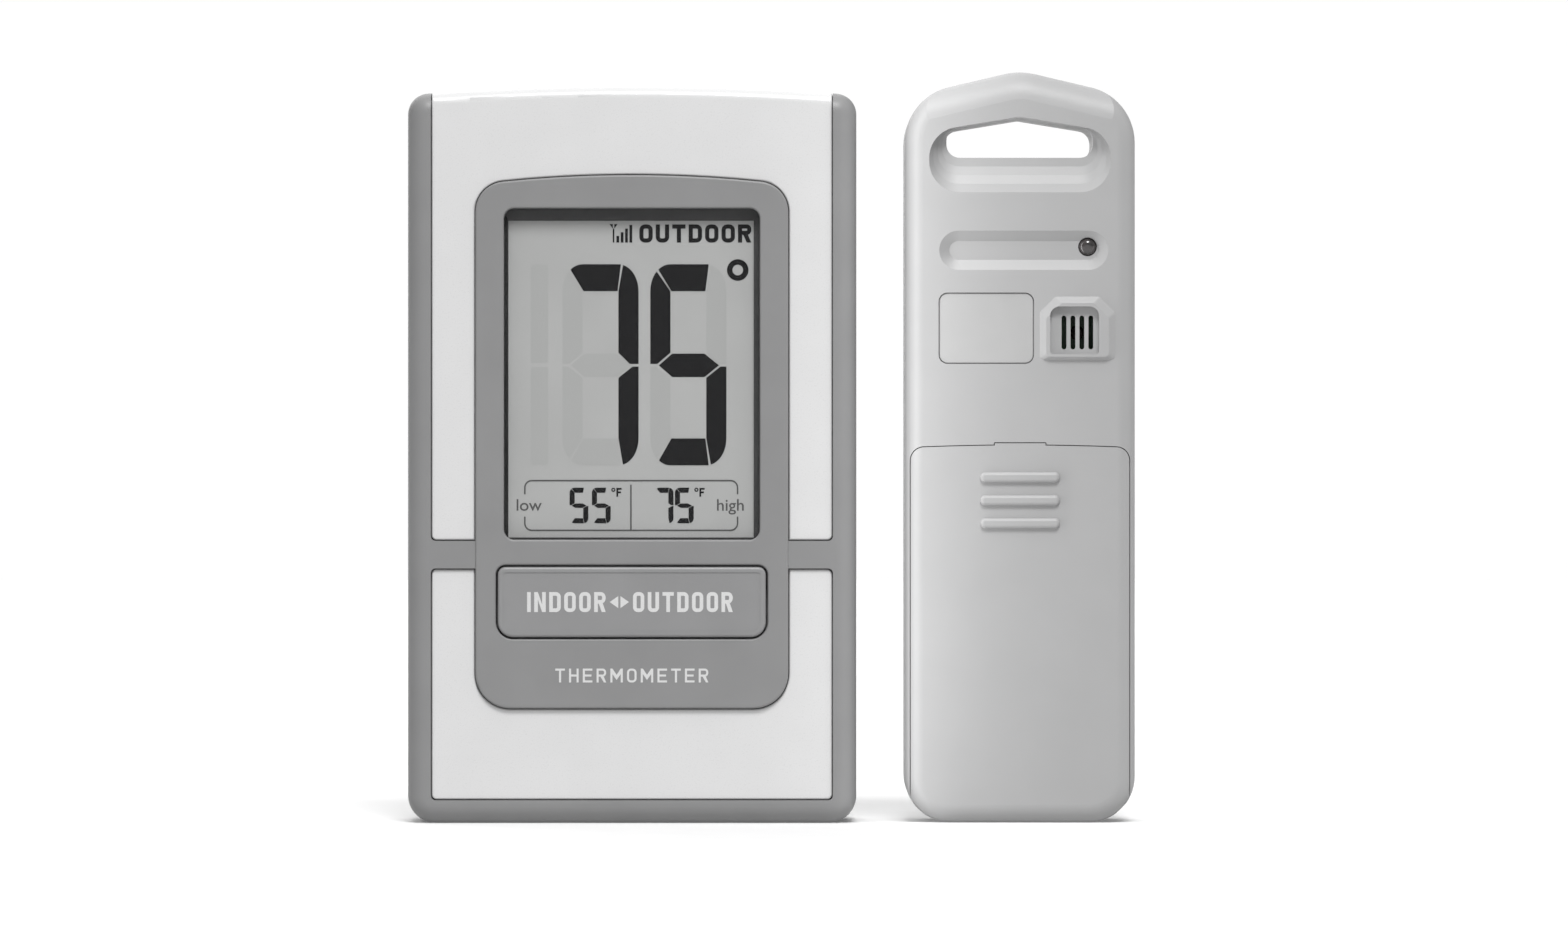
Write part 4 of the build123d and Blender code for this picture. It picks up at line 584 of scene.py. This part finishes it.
def letter_f(w, s):
    """An F with a shorter middle bar."""
    low, high = middle_bar(s)
    reach = w * 0.85
    arms = [(s, low), (reach, low), (reach, high), (s, high), (s, 1 - s), (w, 1 - s)]
    return [[(0, 0), (s, 0)] + arms + [(w, 1), (0, 1)]]


def letter_h(w, s):
    """An H."""
    low, high = middle_bar(s)
    feet = [(0, 0), (s, 0), (s, low), (w - s, low), (w - s, 0), (w, 0)]
    heads = [(w, 1), (w - s, 1), (w - s, high), (s, high), (s, 1), (0, 1)]
    return [feet + heads]


def letter_i(w, s):
    """An I, as wide as its stroke."""
    return [bar((0, w), (0, 1))]


def letter_m(w, s):
    """An M whose valley stops short of the foot."""
    shoulder, valley, notch = 0.6, 0.18, 0.55
    feet = [(0, 0), (s, 0), (s, shoulder), (w / 2, valley), (w - s, shoulder), (w - s, 0), (w, 0)]
    heads = [(w, 1), (w - s, 1), (w / 2, notch), (s, 1), (0, 1)]
    return [feet + heads]


def letter_n(w, s):
    """An N."""
    slope = 0.38
    feet = [(0, 0), (s, 0), (s, 1 - slope), (w - s, 0), (w, 0)]
    heads = [(w, 1), (w - s, 1), (w - s, slope), (s, 1), (0, 1)]
    return [feet + heads]


def letter_o(w, s):
    """An O."""
    r, inner = round_radii(w, s)
    return [rounded_box((0, w), (0, 1), r), rounded_box((s, w - s), (s, 1 - s), inner)]


def letter_r(w, s):
    """An R with a round bowl and a slanted leg."""
    waist = 0.42
    bowl = (1 - waist) / 2
    depth = bowl * 0.8
    centre = (w - depth, waist + bowl)
    knee, foot, hip = w * 0.4, w - s * 1.1, w * 0.74
    leg = [(knee, waist), (foot, 0), (w, 0), (hip, waist + 0.02)]
    outline = [(0, 0), (s, 0), (s, waist)] + leg + arc(centre, (depth, bowl), -60, 90) + [(0, 1)]
    hole = [(s, waist + s)] + arc(centre, (depth - s, bowl - s), -90, 90) + [(s, 1 - s)]
    return [outline, hole]


def letter_t(w, s):
    """A T."""
    left, right = (w - s) / 2, (w + s) / 2
    return [[(0, 1), (0, 1 - s), (left, 1 - s), (left, 0), (right, 0), (right, 1 - s), (w, 1 - s), (w, 1)]]


def letter_u(w, s):
    """A U."""
    r, inner = round_radii(w, s)
    left, right = (r, r), (w - r, r)
    outline = [(0, 1)] + round_arc(left, r, 180, 270) + round_arc(right, r, 270, 360) + [(w, 1), (w - s, 1)]
    outline += round_arc(right, inner, 360, 270) + round_arc(left, inner, 270, 180) + [(s, 1)]
    return [outline]


LETTERS = {
    "D": letter_d,
    "E": letter_e,
    "F": letter_f,
    "H": letter_h,
    "I": letter_i,
    "M": letter_m,
    "N": letter_n,
    "O": letter_o,
    "R": letter_r,
    "T": letter_t,
    "U": letter_u,
}
M_WIDTH = 1.3


def letter_width(letter, width, stroke):
    """How wide a letter is in a word whose plain letters have this width."""
    if letter == "I":
        return stroke
    return width * M_WIDTH if letter == "M" else width


def set_word(word, left, bottom, height, width, stroke, space):
    """Outlines of a word of capitals and the right end it reaches.

    width, stroke and space are shares of the height."""
    loops = []
    x = left
    for letter in word:
        advance = letter_width(letter, width, stroke)
        for outline in LETTERS[letter](advance, stroke):
            loops.append([(x + px * height, bottom + pz * height) for px, pz in outline])
        x += (advance + space) * height
    return loops, x - space * height


WIDTH_LIMITS = (0.2, 2.5)
HALVINGS = 30


def fit_word(word, span, bottom, height, stroke, space):
    """Outlines of a word that fills a span (left, right), with the letters' width found by halving."""
    left, right = span
    low, high = WIDTH_LIMITS
    for _ in range(HALVINGS):
        width = (low + high) / 2
        end = set_word(word, left, bottom, height, width, stroke, space)[1]
        low, high = (width, high) if end < right else (low, width)
    return set_word(word, left, bottom, height, width, stroke, space)[0]


# ---------------------------------------------------------------- words and marks of the liquid crystal
HEADING_BOTTOM = 96.1 * MM
HEADING_HEIGHT = 3.0 * MM
HEADING_SPAN = (across(1.2), across(19.75))
heading = fit_word("OUTDOOR", HEADING_SPAN, HEADING_BOTTOM, HEADING_HEIGHT, stroke=0.23, space=0.17)
flat_piece("lcd_outdoor", heading, material=segment_ink, **PRINT)

DEGREE_CENTRE = (across(17.5), 91.55 * MM)
degree = ring(DEGREE_CENTRE, outer=1.78 * MM, inner=0.88 * MM)
flat_piece("lcd_degree", degree, material=segment_ink, **PRINT)


def reception_icon(left, bottom, height):
    """A small aerial and four rising bars."""
    mast = (left + 0.55 * MM, left + 0.8 * MM)
    dish_right, lip, lip_drop, dish_drop = left + 1.35 * MM, 0.2 * MM, 0.28 * MM, 0.75 * MM
    top = bottom + height
    dish = [
        (left, top),
        (dish_right, top),
        (dish_right - lip, top - lip_drop),
        (mast[1], top - dish_drop),
        (mast[0], top - dish_drop),
        (left + lip, top - lip_drop),
    ]
    loops = [bar(mast, (bottom, top)), dish]
    first, pitch, width = 1.15 * MM, 0.72 * MM, 0.46 * MM
    shortest, rise = 0.36, 0.2
    for step in range(4):
        bar_left = left + first + pitch * step
        bar_height = height * (shortest + rise * step)
        loops.append(bar((bar_left, bar_left + width), (bottom, bottom + bar_height)))
    return loops


icon = reception_icon(across(-3.75), HEADING_BOTTOM, height=3.05 * MM)
flat_piece("lcd_reception", icon, material=segment_ink, **PRINT)

# The frame round the daily low and high.
FRAME_X = (across(-17.9), across(17.6))
FRAME_Z = (48.3 * MM, 56.8 * MM)
FRAME_OPENING = (50.7 * MM, 54.4 * MM)
FRAME_LINE = 0.26 * MM
FRAME_ROUND = 1.3 * MM
DIVIDER_X = across(-0.2)
DIVIDER_GAP = 0.8 * MM


def frame_half(corner_z, end_z, start, middle, end):
    """Half of the frame as one outline: out along its outer edge, back along its inner one."""
    left, right = FRAME_X
    left_corner, right_corner = (left + FRAME_ROUND, corner_z), (right - FRAME_ROUND, corner_z)
    inner = FRAME_ROUND - FRAME_LINE
    outline = [(left, end_z)]
    outline += round_arc(left_corner, FRAME_ROUND, start, middle)
    outline += round_arc(right_corner, FRAME_ROUND, middle, end)
    outline += [(right, end_z), (right - FRAME_LINE, end_z)]
    outline += round_arc(right_corner, inner, end, middle)
    outline += round_arc(left_corner, inner, middle, start)
    return outline + [(left + FRAME_LINE, end_z)]


def low_high_frame():
    """A thin rounded frame, open halfway up both sides, with a divider."""
    low, high = FRAME_Z
    top = frame_half(high - FRAME_ROUND, FRAME_OPENING[1], 180, 90, 0)
    bottom = frame_half(low + FRAME_ROUND, FRAME_OPENING[0], 180, 270, 360)
    divider_x = (DIVIDER_X - FRAME_LINE / 2, DIVIDER_X + FRAME_LINE / 2)
    return [top, bottom, bar(divider_x, (low + FRAME_LINE, high - DIVIDER_GAP))]


flat_piece("lcd_low_high_frame", low_high_frame(), material=faint_ink, **PRINT)

# The raised degree sign and F after each small figure.
UNIT_RING_Z = 55.15 * MM
UNIT_LETTER_BOTTOM = 54.0 * MM
UNIT_LETTER_HEIGHT = 1.45 * MM
UNIT_LETTER_SHIFT = 0.5
for unit_name, ring_x in (("low_unit_mark", -3.1), ("high_unit_mark", 10.65)):
    mark = ring((across(ring_x), UNIT_RING_Z), outer=0.34 * MM, inner=0.15 * MM)
    start = across(ring_x + UNIT_LETTER_SHIFT)
    letter, _ = set_word("F", start, UNIT_LETTER_BOTTOM, UNIT_LETTER_HEIGHT, width=0.6, stroke=0.2, space=0)
    flat_piece(unit_name, mark + letter, material=segment_ink, **PRINT)

SMALL_WORD_BOTTOM = 51.7 * MM
SMALL_WORD_SIZE = 2.75 * MM
for word, left in (("low", -19.3), ("high", 13.9)):
    place = (across(left), LCD_FACE - INK, SMALL_WORD_BOTTOM)
    font_piece("lcd_word_" + word, word, place, SMALL_WORD_SIZE, faint_ink, "display_case",
               squeeze=1.05)


# ---------------------------------------------------------------- legends on the button and the bezel
BUTTON_INK = BUTTON_RIM + BUTTON_DISH - INK
LEGEND_BOTTOM = 34.95 * MM
LEGEND_HEIGHT = 3.3 * MM
LEGEND_TOP = LEGEND_BOTTOM + LEGEND_HEIGHT
LEGEND_WORDS = (
    ("legend_indoor", "INDOOR", (across(-17.3), across(-4.3))),
    ("legend_outdoor", "OUTDOOR", (across(0.2), across(16.7))),
)
ARROWS_X = across(-2.05)
ARROW_BASE = 0.18 * MM
ARROW_TIP = 1.6 * MM
ARROW_MARGIN = 0.65 * MM


def arrow(side):
    """A small solid arrow that points left (-1) or right (1), away from its twin."""
    base, tip = ARROWS_X + side * ARROW_BASE, ARROWS_X + side * ARROW_TIP
    low = (base, LEGEND_BOTTOM + ARROW_MARGIN)
    high = (base, LEGEND_TOP - ARROW_MARGIN)
    point = (tip, LEGEND_BOTTOM + LEGEND_HEIGHT / 2)
    return [low, high, point] if side < 0 else [low, point, high]


def legend(name, loops):
    """A printed legend that moves with the button."""
    flat_piece(name, loops, BUTTON_INK, legend_ink, "mode_button", "panel_white")


for legend_name, word, span in LEGEND_WORDS:
    legend(legend_name, fit_word(word, span, LEGEND_BOTTOM, LEGEND_HEIGHT, stroke=0.185, space=0.17))
legend("legend_arrows", [arrow(-1), arrow(1)])

BEZEL_SPAN = (across(-12.65), across(12.65))
bezel_word = fit_word("THERMOMETER", BEZEL_SPAN, bottom=23.3 * MM, height=2.3 * MM, stroke=0.15, space=0.3)
flat_piece("bezel_legend", bezel_word, BEZEL_FACE - INK, legend_ink, "display_case", "panel_white")


# ---------------------------------------------------------------- marks beside the switches on the back
MARK_SIZE = 2.4 * MM
MARK_RISE = 1.6 * MM
MARK_PROUD = 0.004 * MM
CHANNEL_MARKS = "ABC"
UNIT_MARKS = ("\u00b0C", "\u00b0F")
CHANNEL_SPREAD = (-0.6 * MM, 4.6 * MM)
UNIT_SPREAD = (-1.0 * MM, 3.0 * MM)


def switch_marks(name, knob, marks, spread, face, body, material):
    """Marks above a slide switch, spread from the knob's middle at rest and read from the back."""
    low, high = box(knob)
    middle = (low.x + high.x) / 2
    first, last = spread
    for index, mark in enumerate(marks):
        x = middle + last - (last - first) * index / (len(marks) - 1)
        place = (x, face + MARK_PROUD, high.z + MARK_RISE)
        font_piece(f"{name}_{index}", mark, place, MARK_SIZE, material, body, turned=True)


switch_marks("channel_mark", "channel_switch_knob", CHANNEL_MARKS, CHANNEL_SPREAD,
             REAR_FACE, "display_case", legend_ink)
switch_marks("unit_mark", "unit_switch_knob", UNIT_MARKS, UNIT_SPREAD,
             REAR_FACE, "display_case", legend_ink)
switch_marks("sensor_channel_mark", "sensor_switch_knob", CHANNEL_MARKS, CHANNEL_SPREAD,
             SENSOR_REAR_FACE, "sensor_case", faint_ink)


# ---------------------------------------------------------------- battery cells
CELL_NUB = 1.2 * MM
CELL_NUB_RADIUS = 2.7 * MM
CELL_CAP_RADIUS = 6.3 * MM
CELL_BAND = (CELL_NUB + 0.6 * MM, 9.0 * MM)
FOIL = 0.02 * MM
SUNK = 5 * FOIL
TURNING_STEPS = 48
WELD_REACH = 0.001 * MM


def turned_piece(name, profile, foot, axis, material, body):
    """A round piece turned about a cell's axis from (along, radius) points."""
    shape = bmesh.new()
    points = [shape.verts.new((radius, 0, along)) for along, radius in profile]
    edges = [shape.edges.new(pair) for pair in zip(points, points[1:])]
    bmesh.ops.spin(shape, geom=points + edges, cent=(0, 0, 0), axis=(0, 0, 1), angle=2 * math.pi,
                   steps=TURNING_STEPS)
    bmesh.ops.remove_doubles(shape, verts=shape.verts, dist=WELD_REACH)
    bmesh.ops.recalc_face_normals(shape, faces=shape.faces)
    mesh = bpy.data.meshes.new(name)
    shape.to_mesh(mesh)
    shape.free()
    turn = axis.to_track_quat("Z", "Y").to_matrix().to_4x4()
    mesh.transform(Matrix.Translation(foot) @ turn)
    add_piece(name, mesh, material, body)


def dress_cell(node, inward, body):
    """Bare steel on both ends of a cell and a silver band round its wrap beside the nub.

    inward points from the nub along the cell."""
    low, high = box(node)
    middle, half = (low + high) / 2, (high - low) / 2
    axis = Vector(inward)
    foot = middle - axis * abs(half.dot(axis))
    cell_length = 2 * abs(half.dot(axis))
    cell_radius = min(half)
    nub_face, nub_side = -FOIL, CELL_NUB_RADIUS + FOIL
    shoulder, cap_end = CELL_NUB - FOIL, CELL_NUB + SUNK
    positive = [
        (nub_face, 0),
        (nub_face, nub_side),
        (shoulder, nub_side),
        (shoulder, CELL_CAP_RADIUS),
        (cap_end, CELL_CAP_RADIUS),
        (cap_end, 0),
    ]
    plate = (cell_length - SUNK, cell_length + FOIL)
    negative = [(plate[0], 0), (plate[0], CELL_CAP_RADIUS), (plate[1], CELL_CAP_RADIUS), (plate[1], 0)]
    start, end = CELL_BAND
    inside, outside = cell_radius - SUNK, cell_radius + FOIL
    band = [(start, inside), (start, outside), (end, outside), (end, inside)]
    steel = materials["plated_steel"]
    turned_piece(node + "_positive_cap", positive, foot, axis, steel, body)
    turned_piece(node + "_negative_cap", negative, foot, axis, steel, body)
    turned_piece(node + "_band", band + band[:1], foot, axis, cell_band, body)


dress_cell("display_cell_lower", (-1, 0, 0), "display_case")
dress_cell("display_cell_upper", (1, 0, 0), "display_case")
dress_cell("sensor_cell_left", (0, 0, -1), "sensor_case")
dress_cell("sensor_cell_right", (0, 0, 1), "sensor_case")


# ---------------------------------------------------------------- camera
# A level camera straight in front. PHOTO_WIDTH is how much of the bezel's plane the frame takes in.
PHOTO_WIDTH = 259.2 * MM
LENS = 200.0
FILM = 36.0
NEAR_CLIP, FAR_CLIP = 0.05, 20
VIEW_CENTRE = Vector((2.06 * MM, BEZEL_FACE, 59.5 * MM))

camera_data = bpy.data.cameras.new("camera")
camera_data.lens = LENS
camera_data.sensor_width = FILM
camera_data.clip_start = NEAR_CLIP
camera_data.clip_end = FAR_CLIP
camera = bpy.data.objects.new("camera", camera_data)
camera.location = VIEW_CENTRE - Vector((0, PHOTO_WIDTH * LENS / FILM, 0))
camera.rotation_euler = (math.radians(90), 0, 0)
bpy.context.scene.collection.objects.link(camera)
bpy.context.scene.camera = camera


# ---------------------------------------------------------------- lights
STRIP_SIZE = (0.01, 0.26)
STRIP_HEIGHT = 0.07


def aim(lamp, place, target):
    """Puts a lamp at a place and points it at a target."""
    lamp.location = place
    lamp.rotation_euler = (Vector(target) - Vector(place)).to_track_quat("-Z", "Y").to_euler()
    bpy.context.scene.collection.objects.link(lamp)


def sun_light(name, energy, softness, place):
    """A distant lamp whose light comes from the direction of place; softness is its width in degrees."""
    data = bpy.data.lights.new(name, "SUN")
    data.energy = energy
    data.angle = math.radians(softness)
    aim(bpy.data.objects.new(name, data), place, (0, 0, 0))


def strip_light(name, energy, place, target):
    """A slim upright strip that grazes one side of a unit, from and to (x, y) points."""
    data = bpy.data.lights.new(name, "AREA")
    data.shape = "RECTANGLE"
    data.size, data.size_y = STRIP_SIZE
    data.energy = energy
    strip = bpy.data.objects.new(name, data)
    strip.visible_camera = False
    aim(strip, (*place, STRIP_HEIGHT), (*target, STRIP_HEIGHT))


sun_light("key", energy=2.15, softness=20, place=(0.08, -0.8, 1.0))
sun_light("rear_fill", energy=0.9, softness=60, place=(-0.3, 1.0, 0.6))
strip_light("strip_sensor_left", energy=0.036, place=(0.0145, -0.021), target=(0.045, -0.019))
strip_light("strip_display_right", energy=0.004, place=(0.019, -0.017), target=(0.0, -0.013))
strip_light("strip_sensor_right", energy=0.003, place=(0.07, -0.012), target=(0.05, -0.008))


# ---------------------------------------------------------------- surroundings and floor
# Brightness of the surroundings from straight down (0) over the horizon (0.5) to straight up (1).
WORLD_STRENGTH = 1.4
WORLD_LEVELS = (
    (0.0, 0.6),
    (0.47, 0.6),
    (0.49, 0.72),
    (0.55, 0.72),
    (0.6, 0.25),
    (0.8, 0.3),
    (0.93, 0.8),
)

# Away from the middle the surroundings fade: from this much aside, down to this share of their strength.
SIDE_START = 0.2
SIDE_SHARE = 0.35

FLOOR_SIZE = 6.0


def studio_world():
    """White surroundings: a bright ceiling and horizon, dimmer between the two and at both sides."""
    world = bpy.data.worlds.new("studio")
    world.use_nodes = True
    bpy.context.scene.world = world
    tree = world.node_tree
    background = tree.nodes["Background"]
    place = tree.nodes.new("ShaderNodeTexCoord")
    split = tree.nodes.new("ShaderNodeSeparateXYZ")
    tree.links.new(place.outputs["Generated"], split.inputs["Vector"])

    height = tree.nodes.new("ShaderNodeMapRange")
    height.inputs["From Min"].default_value = -1.0
    tree.links.new(split.outputs["Z"], height.inputs["Value"])
    ramp = tree.nodes.new("ShaderNodeValToRGB")
    stops = ramp.color_ramp.elements
    while len(stops) < len(WORLD_LEVELS):
        stops.new(0.5)
    for stop, (position, level) in zip(stops, WORLD_LEVELS):
        stop.position = position
        stop.color = (level, level, level, 1)
    tree.links.new(height.outputs["Result"], ramp.inputs["Fac"])
    tree.links.new(ramp.outputs["Color"], background.inputs["Color"])

    aside = tree.nodes.new("ShaderNodeMath")
    aside.operation = "ABSOLUTE"
    tree.links.new(split.outputs["X"], aside.inputs[0])
    side = tree.nodes.new("ShaderNodeMapRange")
    side.inputs["From Min"].default_value = SIDE_START
    side.inputs["To Min"].default_value = WORLD_STRENGTH
    side.inputs["To Max"].default_value = WORLD_STRENGTH * SIDE_SHARE
    tree.links.new(aside.outputs["Value"], side.inputs["Value"])
    tree.links.new(side.outputs["Result"], background.inputs["Strength"])


studio_world()

bpy.ops.mesh.primitive_plane_add(size=FLOOR_SIZE, location=(0, 0, 0))
floor = bpy.context.object
floor.name = "floor"
paper = moulded_plastic("floor_paper", PAPER_WHITE, roughness=0.8, grain=1 * MM, mottle=0.01)
floor.data.materials.append(paper)
floor.visible_diffuse = False

bpy.context.scene.view_settings.view_transform = "Standard"
